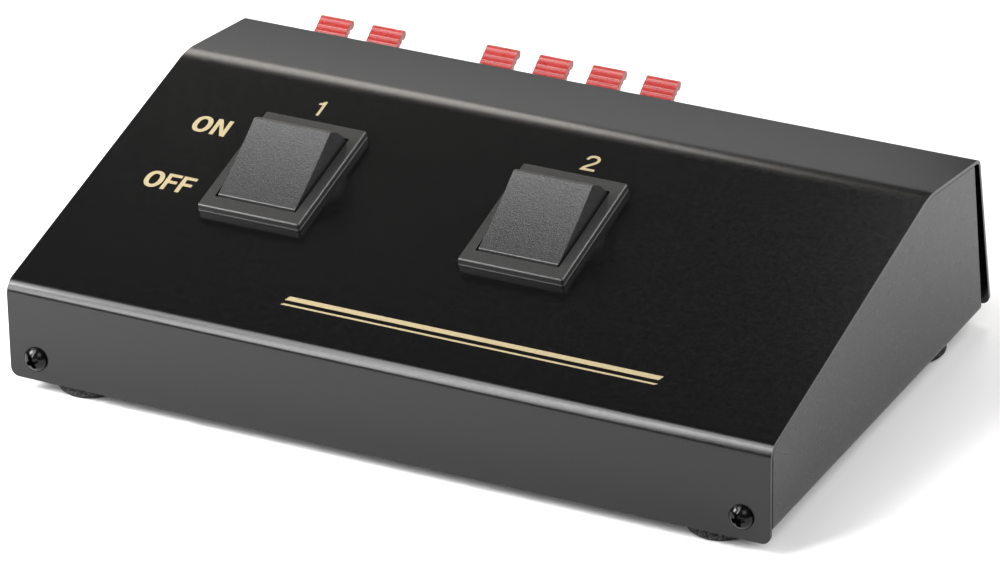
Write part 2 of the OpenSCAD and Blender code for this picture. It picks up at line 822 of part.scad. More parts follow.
// The slot leaves room for the tongue at rest above and at the end of its travel below
slot_top = (plate_t + lever_in) * tan(lever_rest) + lever_t / 2 / cos(lever_rest) + tongue_gap;
slot_bottom = (lever_in - sheet_t) * tan(lever_rest - lever_travel) - lever_t / 2 - tongue_gap;
slot_web = 0.8;
wire_y = slot_bottom - slot_web - wire_hole_r;
funnel_t = 0.7;
funnel_out = 0.7;
face_in = sheet_t;
back_in = 9.8;
back_t = 0.8;
bar_t = 0.8;
bar_w = 5;
bar_y = cell_bottom + running;
tag_l = 6;
tag_hole_r = 0.6;
tag_hole_in = 1.8;
module cell(group, i, row) {
    on_wall(group[0] + column_x(group[1], i), group[2] + row * row_pitch)
        children();
}
module terminal_body(group) {
    w = terminal_w(group[1]);
    color([0.07, 0.07, 0.07])
        difference() {
            on_wall(group[0], plate_d(group)) {
                translate([-plate_w(group[1]) / 2, -terminal_h / 2 - plate_rim, 0])
                    cube([plate_w(group[1]), terminal_h + 2 * plate_rim, plate_t]);
                translate([-w / 2, -terminal_h / 2, -back_in - back_t])
                    cube([w, terminal_h, back_in + back_t + root]);
            }
            for (i = [0:group[1] - 1], row = [0, 1])
                cell(group, i, row)
                    cell_waste();
            on_wall(group[0], plate_d(group))
                for (s = [-1, 1])
                    translate([s * rivet_x(group[1]), 0, -past])
                        cylinder(h = plate_t + 2 * past, r = rivet_r + running);
        }
}
module cell_waste() {
    translate([-cell_w / 2, cell_bottom, -back_in])
        cube([cell_w, cell_top - cell_bottom, back_in - face_in]);
    translate([-cell_w / 2, slot_bottom, -face_in - past])
        cube([cell_w, slot_top - slot_bottom, plate_t + face_in + 2 * past]);
    translate([0, wire_y, -face_in - past])
        cylinder(h = plate_t + face_in + 2 * past, r = wire_hole_r);
    translate([0, wire_y, plate_t - funnel_t])
        cylinder(h = 2 * funnel_t, r1 = wire_hole_r, r2 = wire_hole_r + 2 * funnel_out);
    translate([0, 0, -lever_in])
        rotate([0, 90, 0])
            cylinder(h = cell_w + 2 * (lever_pin_l + slack), r = lever_pin_r + running, center = true);
    translate([-bar_w / 2 - running, cell_bottom, -back_in - back_t - past])
        cube([bar_w + 2 * running, bar_t + 2 * running, back_t + 2 * past]);
}

// A lever: hub and trunnions, an outside tongue with a beaded tip, and two prongs astride the wire
hub_r = 1.9;
lever_pin_l = 1.2;
prong_l = 4.3;
prong_t = 1.8;
prong_gap = 3.8;
// Distance from the pivot at which the gap between the prongs ends
prong_root = 1.6;
rib_r = 0.35;
rib_pitch = 1.5;
// Distance behind the bead's middle from which the ribs step down the tongue
rib_back = 0.4;
rib_start = lever_l - bead_r - rib_back;
rib_count = 3;
upper_rib_out = 0.15;
lower_rib_out = 0.25;
module lever_section() {
    circle(hub_r);
    rotate(-lever_rest) {
        translate([-lever_t / 2, 0])
            square([lever_t, lever_l - lever_t / 2]);
        translate([bead_y, lever_l - bead_r])
            circle(bead_r);
        for (k = [1:rib_count]) {
            translate([lever_t / 2 + upper_rib_out - rib_r, rib_start - k * rib_pitch])
                circle(rib_r);
            translate([-lever_t / 2 - lower_rib_out + rib_r, rib_start - k * rib_pitch])
                circle(rib_r);
        }
    }
    translate([-prong_l, -prong_t / 2])
        square([prong_l, prong_t]);
}
module lever() {
    translate([0, 0, -lever_in]) {
        difference() {
            across(lever_w)
                lever_section();
            translate([-prong_gap / 2, -prong_l - past, -prong_t])
                cube([prong_gap, prong_l + past - prong_root, 2 * prong_t]);
        }
        rotate([0, 90, 0])
            cylinder(h = cell_w + 2 * lever_pin_l, r = lever_pin_r, center = true);
    }
}
module red_lever(group, i) {
    color([0.80, 0.22, 0.22])
        cell(group, i, 0)
            lever();
}
module black_lever(group, i) {
    color([0.06, 0.06, 0.06])
        cell(group, i, 1)
            lever();
}
module contact_bars(group) {
    color([0.80, 0.70, 0.42])
        for (i = [0:group[1] - 1], row = [0, 1])
            cell(group, i, row)
                difference() {
                    translate([-bar_w / 2, bar_y, -back_in - back_t - tag_l])
                        cube([bar_w, bar_t, tag_l + back_t + back_in - face_in - slack]);
                    for (s = [-1, 1])
                        translate([s * wire_x, 0, -back_in - back_t - tag_l + tag_hole_in])
                            rotate([90, 0, 0])
                                cylinder(h = 2 * row_pitch, r = tag_hole_r, center = true);
                }
}
// Clamp springs: a hairpin of strip, one leg on the back wall and the other leaning on the prongs
leaf_t = 0.4;
leaf_w = 7;
leaf_back = -back_in + leaf_t / 2 + running;
leaf_low = -1;
leaf_high = 3.3;
// The leaf's bend: how far it steps up and in from its back leg
leaf_step = 0.7;
// Shares of that step: how far in the bend's top lies, and how far up and in its front
leaf_top_in = 0.8;
leaf_front_up = 0.3;
leaf_front_in = 1.8;
leaf_lean_gap = 0.15;
leaf_tip = -4.15;
leaf_path = [
    [leaf_low, leaf_back],
    [leaf_high, leaf_back],
    [leaf_high + leaf_step, leaf_back + leaf_step * leaf_top_in],
    [leaf_high + leaf_step * leaf_front_up, leaf_back + leaf_step * leaf_front_in],
    [leaf_tip, -lever_in - (prong_t + leaf_t) / 2 - leaf_lean_gap]
];
module clamp_springs(group) {
    color([0.72, 0.72, 0.74])
        for (i = [0:group[1] - 1], row = [0, 1])
            cell(group, i, row)
                rotate([90, 0, 90])
                    translate([0, 0, -leaf_w / 2])
                        linear_extrude(leaf_w)
                            polygon(strip(leaf_path, leaf_t));
}
rivet_head_r = 2.6;
rivet_head_h = 0.9;
rivet_tail_r = 2.2;
rivet_tail_h = 1.6;
rivet_end = 2;
rivet_dome_r = 4.2;
module terminal_rivets() {
    color([0.72, 0.72, 0.73])
        for (group = [input_group, output_group], s = [-1, 1])
            on_wall(group[0] + s * rivet_x(group[1]), plate_d(group)) {
                translate([0, 0, -sheet_t - rivet_end])
                    cylinder(h = plate_t + sheet_t + rivet_end + rivet_head_h / 2, r = rivet_r);
                translate([0, 0, plate_t])
                    intersection() {
                        cylinder(h = rivet_head_h, r = rivet_head_r);
                        translate([0, 0, rivet_head_h - rivet_dome_r])
                            sphere(rivet_dome_r);
                    }
                translate([0, 0, -sheet_t - rivet_tail_h])
                    cylinder(h = rivet_tail_h, r1 = rivet_r, r2 = rivet_tail_r);
            }
}

// ---- Wires, soldered to the end of a blade or of a contact bar ----
wire_x = 1.3;
solder_gap = 0.05;
wire_steps = 15;
wire_sides = 7;
wire_gap = 0.45;
// Lowest height of a wire's middle line, clear of the base plate
wire_low = base_lift + chassis_t + wire_r + wire_gap;
// Wires from the blades aim down at first, by these shares of the blades' height above wire_low
input_fall_share = 0.6;
link_fall_share = 0.72;
output_fall_share = 2.1;
// How far the wires' ends aim before they turn towards the other end
tag_aim = 20;
tag_fall = 6;
link_spread = 14;
link_front = 9;
loom_aim = 11;
loom_step = 6;
loom_rise = 7.65;

function bezier(a, b, c, d, steps) = [
    for (i = [0:steps])
        let(t = i / steps, s = 1 - t)
            s * s * s * a + 3 * s * s * t * b + 3 * s * t * t * c + t * t * t * d
];
// How far both ends of a level wire at height z aim down, so that its middle sags to wire_low
function sag(z) = (z - wire_low) * 4 / 3;
// The way down from a blade's end, by a share of its height above wire_low
function fall(start, share) = -share * (start[2] - wire_low) * panel_out;
// Ends of the terminals, off the middle of a blade or bar by side
function blade_end(x, pole, y, side) =
    on_panel_point(x + pole * pole_x + side * wire_x, switch_v + y, -switch_depth - blade_l - solder_gap);
function tag_end(group, i, row, side) =
    on_wall_point(
        group[0] + column_x(group[1], i) + side * wire_x,
        group[2] + row * row_pitch - bar_y - bar_t / 2,
        -back_in - back_t - tag_l - solder_gap
    );
// A wire from a to b: it leaves a towards a_way and reaches b from the side of b_way, and its ends
// stand square to a_face and b_face
module wire(a, a_face, a_way, b, b_face, b_way) {
    tube(bezier(a, a + a_way, b + b_way, b, wire_steps), wire_r, wire_sides, a_face, -b_face);
}
module red_input_wires() {
    color([0.75, 0.10, 0.10])
        for (i = [0, 1]) {
            start = blade_end(switch_1_x, 2 * i - 1, 0, -1);
            wire(
                start, -panel_out, fall(start, input_fall_share),
                tag_end(input_group, i, 0, 0), -wall_out, -tag_aim * wall_out
            );
        }
}
module red_link_wires() {
    color([0.75, 0.10, 0.10])
        for (i = [0, 1]) {
            start = blade_end(switch_1_x, 2 * i - 1, 0, 1);
            way = fall(start, link_fall_share) + [0, i * link_spread - link_front, 0];
            wire(
                start, -panel_out, way,
                blade_end(switch_2_x, 2 * i - 1, 0, -1), -panel_out, way
            );
        }
}
module red_output_wires() {
    color([0.75, 0.10, 0.10])
        for (k = [0:3]) {
            start = blade_end(k < 2 ? switch_1_x : switch_2_x, 2 * (k % 2) - 1, on_blade_y, 0);
            wire(
                start, -panel_out, fall(start, output_fall_share),
                tag_end(output_group, k, 0, 0), -wall_out,
                -tag_aim * wall_out - [0, 0, tag_fall]
            );
        }
}
module black_wires() {
    color([0.05, 0.05, 0.05])
        for (i = [0, 1]) {
            start = tag_end(input_group, i, 1, 0);
            way = [0, -(loom_aim + i * loom_step) * cos(wall_a), i * loom_rise - sag(start[2])];
            wire(
                start, -wall_out, way,
                tag_end(output_group, i, 1, -1), -wall_out, way
            );
            wire(
                tag_end(output_group, i, 1, 1), -wall_out, way,
                tag_end(output_group, i + 2, 1, -1), -wall_out, way
            );
        }
}

seated() cover();
seated() chassis();
seated() front_screws();
seated() rear_screws();
seated() foot(-front_foot_x, front_foot_in);  // foot_front_left
seated() foot(front_foot_x, front_foot_in);  // foot_front_right
seated() foot(-rear_foot_x, rear_foot_y);  // foot_rear_left
seated() foot(rear_foot_x, rear_foot_y);  // foot_rear_right
seated() on_panel(switch_1_x) switch_housing();  // switch_1_housing
seated() on_panel(switch_1_x) switch_rocker();  // switch_1_rocker
seated() on_panel(switch_1_x) switch_plungers();  // switch_1_plungers
seated() on_panel(switch_1_x) switch_plunger_springs();  // switch_1_plunger_springs
seated() on_panel(switch_1_x) switch_contact_arms();  // switch_1_contact_arms
seated() on_panel(switch_1_x) switch_common_terminals();  // switch_1_common_terminals
seated() on_panel(switch_1_x) switch_on_terminals();  // switch_1_on_terminals
seated() on_panel(switch_2_x) switch_housing();  // switch_2_housing
seated() on_panel(switch_2_x) switch_rocker();  // switch_2_rocker
seated() on_panel(switch_2_x) switch_plungers();  // switch_2_plungers
seated() on_panel(switch_2_x) switch_plunger_springs();  // switch_2_plunger_springs
seated() on_panel(switch_2_x) switch_contact_arms();  // switch_2_contact_arms
seated() on_panel(switch_2_x) switch_common_terminals();  // switch_2_common_terminals
seated() on_panel(switch_2_x) switch_on_terminals();  // switch_2_on_terminals
seated() terminal_body(input_group);  // input_terminal_body
seated() terminal_body(output_group);  // output_terminal_body
seated() terminal_rivets();
seated() red_lever(input_group, 0);  // input_red_lever_1
seated() red_lever(input_group, 1);  // input_red_lever_2
seated() black_lever(input_group, 0);  // input_black_lever_1
seated() black_lever(input_group, 1);  // input_black_lever_2
seated() red_lever(output_group, 0);  // output_red_lever_1
seated() red_lever(output_group, 1);  // output_red_lever_2
seated() red_lever(output_group, 2);  // output_red_lever_3
seated() red_lever(output_group, 3);  // output_red_lever_4
seated() black_lever(output_group, 0);  // output_black_lever_1
seated() black_lever(output_group, 1);  // output_black_lever_2
seated() black_lever(output_group, 2);  // output_black_lever_3
seated() black_lever(output_group, 3);  // output_black_lever_4
seated() contact_bars(input_group);  // input_contact_bars
seated() contact_bars(output_group);  // output_contact_bars
seated() clamp_springs(input_group);  // input_clamp_springs
seated() clamp_springs(output_group);  // output_clamp_springs
seated() red_input_wires();
seated() red_link_wires();
seated() red_output_wires();
seated() black_wires();
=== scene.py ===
"""Looks of a speaker selector switch: a sloped black steel case with two rocker switches on its panel
and spring terminals for loudspeaker wires at the rear.

Pieces are drawn in millimetres from the lower edge of the cover's front wall (x across, y to the rear,
z up) and are brought into the frame, in metres, when they are finished.
"""
import json
import math

import bmesh
import bpy
from mathutils import Matrix, Vector


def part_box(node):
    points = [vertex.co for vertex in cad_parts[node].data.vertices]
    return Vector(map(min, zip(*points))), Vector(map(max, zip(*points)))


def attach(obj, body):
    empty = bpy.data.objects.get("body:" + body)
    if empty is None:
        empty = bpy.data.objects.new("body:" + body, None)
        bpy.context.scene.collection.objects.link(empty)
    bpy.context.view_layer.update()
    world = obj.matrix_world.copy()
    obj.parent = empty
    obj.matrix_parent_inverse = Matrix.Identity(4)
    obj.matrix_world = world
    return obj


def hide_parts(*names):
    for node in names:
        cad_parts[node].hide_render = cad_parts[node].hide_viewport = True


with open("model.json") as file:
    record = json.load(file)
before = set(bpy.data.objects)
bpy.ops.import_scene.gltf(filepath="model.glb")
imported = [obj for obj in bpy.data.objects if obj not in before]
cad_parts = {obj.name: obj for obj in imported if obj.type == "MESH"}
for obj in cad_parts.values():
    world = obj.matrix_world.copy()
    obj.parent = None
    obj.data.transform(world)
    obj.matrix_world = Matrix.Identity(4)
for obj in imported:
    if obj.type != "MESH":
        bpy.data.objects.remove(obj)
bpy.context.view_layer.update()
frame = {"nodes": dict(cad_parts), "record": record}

# ---- Cover ---------------------------------------------------------------------------------------
# One sheet of 0.8 mm steel folded three times into front wall, sloping panel, top and rear wall. The
# folds are rounder outside than inside, and the sheet is sprayed satin black after the holes are cut.
MM = 0.001
cover_low, cover_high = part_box("cover")
TO_FRAME = Matrix.Translation((0, cover_low.y, cover_low.z)) @ Matrix.Scale(MM, 4)
cover_w = (cover_high.x - cover_low.x) / MM
sheet = 0.8
front_foot, front_edge = Vector((0, 0)), Vector((0, 22.1))
panel_edge, rear_edge = Vector((81.1, 43.9)), Vector((109.3, 40.4))
rear_foot = Vector((117.2, 1.9))
case_line = [front_foot, front_edge, panel_edge, rear_edge, rear_foot]
fold_radii = [3.6, 18.0, 2.5]
panel_turn = math.atan2(panel_edge.y - front_edge.y, panel_edge.x - front_edge.x)
wall_turn = math.atan2(rear_foot.x - rear_edge.x, rear_edge.y - rear_foot.y)


def aside(line, distance):
    """A side line moved to its left by distance, with its corners kept sharp."""
    ways = [(b - a).normalized() for a, b in zip(line, line[1:])]
    lefts = [Vector((-w.y, w.x)) for w in ways]
    moved = [line[0] + lefts[0] * distance]
    for corner, a, b in zip(line[1:-1], lefts, lefts[1:]):
        between = (a + b).normalized()
        moved.append(corner + between * distance / between.dot(a))
    return moved + [line[-1] + lefts[-1] * distance]


def folded(line, radii, steps=18):
    """A side line with an arc of the given radius at each inner corner; radius 0 keeps it sharp."""
    points = [line[0]]
    for before, corner, after, radius in zip(line, line[1:], line[2:], radii):
        u, w = (before - corner).normalized(), (after - corner).normalized()
        half = math.acos(max(-1, min(1, u.dot(w)))) / 2
        if radius <= 0:
            points.append(corner)
            continue
        reach = radius / math.tan(half)
        centre = corner + (u + w).normalized() * radius / math.sin(half)
        start, end = corner + u * reach - centre, corner + w * reach - centre
        swing = start.angle_signed(end)
        points += [centre + start @ Matrix.Rotation(swing * k / steps, 2) for k in range(steps + 1)]
    return points + [line[-1]]


def mesh_piece(name, vertices, faces):
    """A new object of the given points and faces, with its faces turned outwards."""
    mesh = bpy.data.meshes.new(name)
    mesh.from_pydata([tuple(v) for v in vertices], [], faces)
    work = bmesh.new()
    work.from_mesh(mesh)
    bmesh.ops.recalc_face_normals(work, faces=work.faces)
    work.to_mesh(mesh)
    work.free()
    piece = bpy.data.objects.new(name, mesh)
    bpy.context.collection.objects.link(piece)
    return piece


def prism(name, outline, low, high):
    """A side outline, as (y, z) points, carried across the case from x = low to x = high."""
    n = len(outline)
    vertices = [(x, p[0], p[1]) for x in (low, high) for p in outline]
    faces = [(k, (k + 1) % n, (k + 1) % n + n, k + n) for k in range(n)]
    return mesh_piece(name, vertices, faces + [tuple(range(n)), tuple(range(n, 2 * n))])


def brick(name, low, high, place=Matrix.Identity(4)):
    """A block between two opposite corners."""
    corners = [(x, y, z) for x in (low[0], high[0]) for y in (low[1], high[1]) for z in (low[2], high[2])]
    faces = [(0, 1, 3, 2), (4, 6, 7, 5), (0, 4, 5, 1), (2, 3, 7, 6), (0, 2, 6, 4), (1, 5, 7, 3)]
    return mesh_piece(name, [place @ Vector(c) for c in corners], faces)


def lathed(name, line, place=Matrix.Identity(4), steps=48):
    """A closed (radius, height) line turned about the local z axis. Points on the axis are shared."""
    rings, vertices = [], []
    for radius, height in line:
        count = 1 if radius < 1e-6 else steps
        rings.append([len(vertices) + k for k in range(count)])
        vertices += [
            place @ Vector((radius * math.cos(a), radius * math.sin(a), height))
            for a in (2 * math.pi * k / steps for k in range(count))
        ]
    faces = []
    for one, two in zip(rings, rings[1:] + rings[:1]):
        for k in range(steps):
            m = (k + 1) % steps
            corners = [one[k % len(one)], one[m % len(one)], two[m % len(two)], two[k % len(two)]]
            corners = list(dict.fromkeys(corners))
            if len(corners) > 2:
                faces.append(corners)
    return mesh_piece(name, vertices, faces)


def joined(name, parts):
    """One object that holds the meshes of several."""
    work = bmesh.new()
    for part in parts:
        work.from_mesh(part.data)
        bpy.data.objects.remove(part)
    mesh = bpy.data.meshes.new(name)
    work.to_mesh(mesh)
    work.free()
    piece = bpy.data.objects.new(name, mesh)
    bpy.context.collection.objects.link(piece)
    return piece


def evaluated(piece):
    """Bakes a piece's modifiers into its mesh."""
    bpy.context.view_layer.update()
    graph = bpy.context.evaluated_depsgraph_get()
    mesh = bpy.data.meshes.new_from_object(piece.evaluated_get(graph))
    piece.modifiers.clear()
    piece.data = mesh
    return piece


def worked(piece, tools, how="DIFFERENCE"):
    """Cuts the tools out of a piece, or fuses them on, or keeps only what lies inside them."""
    tool = joined("tool", tools)
    cut = piece.modifiers.new("cut", "BOOLEAN")
    cut.operation = how
    cut.solver = "EXACT"
    cut.use_self = how == "UNION"
    cut.object = tool
    evaluated(piece)
    bpy.data.objects.remove(tool)
    return piece


def eased(piece, width, segments=2, sharp=math.radians(35), crease=None):
    """Breaks the sharp edges of a piece, as paint, moulding or deburring does. Edges that stay
    unbroken but turn by more than crease keep a crisp line."""
    bevel = piece.modifiers.new("ease", "BEVEL")
    bevel.width = width
    bevel.segments = segments
    bevel.limit_method = "ANGLE"
    bevel.angle_limit = sharp
    bevel.harden_normals = crease is None
    piece.data.shade_smooth()
    evaluated(piece)
    if crease is not None:
        piece.data.set_sharp_from_angle(angle=crease)
    return piece


def settled(piece, body, slot, finish, *nodes):
    """Brings a finished piece into the frame and hands it to its body."""
    piece.data.transform(TO_FRAME)
    piece.data.materials.clear()
    piece.data.materials.append(finish)
    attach(piece, body)
    if nodes:
        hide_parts(*nodes)
    return piece


def on_panel(x, up):
    """A place on the sloping panel: local x across, y up the slope and z out of it."""
    foot = Vector((x, up * math.cos(panel_turn), front_edge.y + up * math.sin(panel_turn)))
    return Matrix.Translation(foot) @ Matrix.Rotation(panel_turn, 4, "X")


def on_wall(x, down):
    """A place on the rear wall: local x towards -X, y up the wall and z out of it."""
    foot = Vector((
        x,
        rear_edge.x + down * math.sin(wall_turn),
        rear_edge.y - down * math.cos(wall_turn),
    ))
    return Matrix.Translation(foot) @ Matrix.Rotation(math.pi, 4, "Z") @ Matrix.Rotation(
        math.pi / 2 - wall_turn, 4, "X"
    )


def on_front(x, z):
    """A place on the front wall: local z out of it, towards the viewer."""
    return Matrix.Translation((x, 0, z)) @ Matrix.Rotation(math.pi / 2, 4, "X")


def shader(name, colour, roughness, metallic=0.0):
    """A new material and its Principled shader."""
    finish = bpy.data.materials.new(name)
    finish.use_nodes = True
    surface = finish.node_tree.nodes["Principled BSDF"]
    surface.inputs["Base Color"].default_value = (*colour, 1)
    surface.inputs["Roughness"].default_value = roughness
    surface.inputs["Metallic"].default_value = metallic
    return finish, surface


def spots(finish, size, detail=3.0, stretch=(1, 1, 1)):
    """Soft noise with spots about size mm across, drawn out along the axes by stretch."""
    nodes, links = finish.node_tree.nodes, finish.node_tree.links
    where = nodes.new("ShaderNodeTexCoord")
    scaled = nodes.new("ShaderNodeMapping")
    scaled.inputs["Scale"].default_value = [1 / s for s in stretch]
    noise = nodes.new("ShaderNodeTexNoise")
    noise.inputs["Scale"].default_value = 1 / (size * MM)
    noise.inputs["Detail"].default_value = detail
    links.new(where.outputs["Object"], scaled.inputs["Vector"])
    links.new(scaled.outputs["Vector"], noise.inputs["Vector"])
    return noise.outputs["Fac"]


def ranged(finish, value, low, high, start=0.3, end=0.7):
    """Stretches the part of a value between start and end over low to high."""
    nodes, links = finish.node_tree.nodes, finish.node_tree.links
    span = nodes.new("ShaderNodeMapRange")
    span.inputs["From Min"].default_value = start
    span.inputs["From Max"].default_value = end
    span.inputs["To Min"].default_value = low
    span.inputs["To Max"].default_value = high
    links.new(value, span.inputs["Value"])
    return span.outputs["Result"]


def mottled(finish, surface, colour, other, size, edge=(0.3, 0.7), **how):
    """The colour drifts between two tones in spots of a size; edge is where one tone gives way."""
    nodes, links = finish.node_tree.nodes, finish.node_tree.links
    blend = nodes.new("ShaderNodeMix")
    blend.data_type = "RGBA"
    blend.inputs["A"].default_value = (*colour, 1)
    blend.inputs["B"].default_value = (*other, 1)
    links.new(ranged(finish, spots(finish, size, **how), 0, 1, *edge), blend.inputs["Factor"])
    links.new(blend.outputs["Result"], surface.inputs["Base Color"])


def uneven(finish, surface, low, high, size, **how):
    """The roughness drifts between two values in spots of a size."""
    finish.node_tree.links.new(
        ranged(finish, spots(finish, size, **how), low, high), surface.inputs["Roughness"]
    )


def grained(finish, surface, size, depth, **how):
    """Adds a relief of spots of a size, depth mm deep, on top of any relief there is."""
    nodes, links = finish.node_tree.nodes, finish.node_tree.links
    bump = nodes.new("ShaderNodeBump")
    bump.inputs["Distance"].default_value = depth * MM
    links.new(spots(finish, size, **how), bump.inputs["Height"])
    below = surface.inputs["Normal"].links
    if below:
        links.new(below[0].from_socket, bump.inputs["Normal"])
    links.new(bump.outputs["Normal"], surface.inputs["Normal"])


black = (0.0018, 0.0018, 0.0019)
cover_paint, surface = shader("satin_black_paint", black, 0.21)
surface.inputs["Specular IOR Level"].default_value = 0.42
mottled(cover_paint, surface, black, (0.0032, 0.0032, 0.0033), 1.4, detail=5)
uneven(cover_paint, surface, 0.19, 0.24, 0.9, detail=4)
grained(cover_paint, surface, 0.45, 0.0025, detail=3)
grained(cover_paint, surface, 3.0, 0.003, detail=2)
grained(cover_paint, surface, 0.6, 0.002, detail=3, stretch=(7, 1, 1))

screw_x, front_screw_z, rear_screw_up, screw_hole_r = 83.5, 5.2, 3.9, 1.65
wall_length = (rear_foot - rear_edge).length
switch_x = {1: -48.2, 2: 14.9}
switch_up = 50.5
body_w, body_l, hole_air = 21.8, 29.7, 0.2
# The middle of each terminal body across the case, its columns, and how far down the rear wall it sits.
terminal_groups = {"input": (-67.0, 2, 18.53), "output": (-11.2, 4, 17.83)}
pitch, window_h = 13.3, 24.65
cut_half, paint_edge = 3, 0.16


def corner_tools(place, radius=2.0, reach=3.0):
    """What the rounding of a wall's two lower corners takes away."""
    tools = []
    for side in (-1, 1):
        centre = (side * (cover_w / 2 - radius), radius)
        arc = [
            (centre[0] + side * radius * math.sin(a), centre[1] - radius * math.cos(a))
            for a in (math.pi / 2 * k / 10 for k in range(11))
        ]
        rim = [(side * (cover_w / 2 + reach), radius), (side * (cover_w / 2 + reach), -reach),
               (centre[0], -reach)]
        outline = arc + rim
        n = len(outline)
        corners = [place @ Vector((x, y, z)) for z in (-reach, reach) for x, y in outline]
        faces = [(k, (k + 1) % n, (k + 1) % n + n, k + n) for k in range(n)]
        tools.append(mesh_piece("corner", corners, faces + [tuple(range(n)), tuple(range(n, 2 * n))]))
    return tools


def hole(place, radius, depth=4.0, steps=40):
    """A round tool that reaches depth to either side of its place."""
    return lathed("hole", [(0, -depth), (radius, -depth), (radius, depth), (0, depth)], place, steps)


outer = folded(case_line, fold_radii)
inner = folded(aside(case_line, -sheet), [r - sheet for r in fold_radii])
cover = prism("cover_shell", outer + inner[::-1], -cover_w / 2, cover_w / 2)
tools = corner_tools(Matrix.Rotation(math.pi / 2, 4, "X")) + corner_tools(on_wall(0, wall_length))
for x in switch_x.values():
    half = Vector((body_w / 2 + hole_air, body_l / 2 + hole_air, cut_half))
    tools.append(brick("opening", -half, half, on_panel(x, switch_up)))
for x, columns, down in terminal_groups.values():
    half = Vector((columns * pitch / 2 + hole_air, window_h / 2, cut_half))
    tools.append(brick("window", -half, half, on_wall(x, down)))
for side in (-1, 1):
    tools.append(hole(on_front(side * screw_x, front_screw_z), screw_hole_r))
    tools.append(hole(on_wall(side * screw_x, wall_length - rear_screw_up), screw_hole_r))
worked(cover, tools)
eased(cover, paint_edge)
settled(cover, "case", "cover_paint", cover_paint, "cover")

# ---- Panel print ---------------------------------------------------------------------------------
# Cream-gold ink, screened onto the paint: the two ends of a switch's travel, a number for each switch
# and two plain stripes across the lower part of the panel. The ink stands a few hundredths proud.
ink_low, ink_high = -0.03, 0.03
stem = 1.0
# A letter O: half its width and height, and the ink at its sides and ends.
bowl_w, bowl_l, bowl_side, bowl_end, bowl_power = 2.20, 2.72, 1.15, 0.95, 0.9


def inked(name, outline, x, up, inner=None):
    """A flat printed form on the panel, from its outline and, where it has one, that of its eye."""
    n = len(outline)
    place = on_panel(0, 0) @ Matrix.Translation((x, up, 0))
    loops = [outline] if inner is None else [outline, inner]
    vertices = [place @ Vector((a, b, z)) for loop in loops for z in (ink_low, ink_high) for a, b in loop]
    faces = [(k, (k + 1) % n, (k + 1) % n + n, k + n) for k in range(n)]
    if inner is None:
        faces += [tuple(range(n)), tuple(range(n, 2 * n))]
    else:
        faces += [(k + 2 * n, (k + 1) % n + 2 * n, (k + 1) % n + 3 * n, k + 3 * n) for k in range(n)]
        for z in (0, n):
            faces += [(k + z, (k + 1) % n + z, (k + 1) % n + 2 * n + z, k + 2 * n + z) for k in range(n)]
    return mesh_piece(name, vertices, faces)


def bowl(half_w, half_l, steps=48):
    """The full round of a letter O, a little squarer than an ellipse."""
    ring = []
    for k in range(steps):
        a = 2 * math.pi * k / steps
        c, t = math.cos(a), math.sin(a)
        ring.append((
            half_w * math.copysign(abs(c)**bowl_power, c), half_l * math.copysign(abs(t)**bowl_power, t)
        ))
    return ring


cap = 5.4
letter_n = [
    (0, 0), (0, cap), (1.1, cap), (2.75, 1.9), (2.75, cap), (3.75, cap), (3.75, 0), (2.65, 0), (stem, 3.5),
    (stem, 0),
]
letter_f = [
    (0, 0), (0, cap), (3.3, cap), (3.3, 4.5), (stem, 4.5), (stem, 3.2), (3.0, 3.2), (3.0, 2.3),
    (stem, 2.3), (stem, 0),
]
figure_1 = [(1.0, 0), (1.0, 3.6), (0, 3.6), (0, 4.1), (0.6, 4.3), (1.0, 4.9), (1.65, 4.9), (1.65, 0)]
two_line = [
    Vector(p) for p in (
        (0.36, 3.5), (0.5, 4.15), (0.95, 4.62), (1.7, 4.8), (2.4, 4.62), (2.85, 4.15), (2.95, 3.55),
        (2.7, 2.95), (2.1, 2.3), (1.3, 1.65), (0.7, 1.05), (0.42, 0.36), (3.35, 0.36),
    )
]
half_stroke = 0.35
figure_2 = [tuple(p) for p in aside(two_line, half_stroke) + aside(two_line, -half_stroke)[::-1]]
stripe_slant = 0.6


def stripe(length, height):
    """A bar with slanting ends."""
    return [(0, 0), (stripe_slant, height), (length, height), (length - stripe_slant, 0)]


round_o = bowl(bowl_w, bowl_l)
eye_o = bowl(bowl_w - bowl_side, bowl_l - bowl_end)
printed = [
    inked("o", round_o, -73.8, 61.0, eye_o), inked("n", letter_n, -71.0, 58.3),
    inked("o", round_o, -75.3, 40.9, eye_o), inked("f", letter_f, -72.7, 38.2),
    inked("f", letter_f, -69.0, 38.2), inked("figure", figure_1, -51.7, 70.9),
    inked("figure", figure_2, 13.9, 70.6),
    inked("stripe", stripe(88.2, 1.3), -28.6, 12.9), inked("stripe", stripe(88.2, 0.5), -28.9, 11.3),
]
gold_ink, surface = shader("gold_ink", (0.31, 0.25, 0.14), 0.42)
mottled(gold_ink, surface, (0.285, 0.23, 0.125), (0.34, 0.275, 0.16), 0.6, detail=4)
uneven(gold_ink, surface, 0.36, 0.50, 0.4, detail=4)
grained(gold_ink, surface, 0.3, 0.003, detail=2)
settled(joined("panel_print", printed), "case", None, gold_ink)

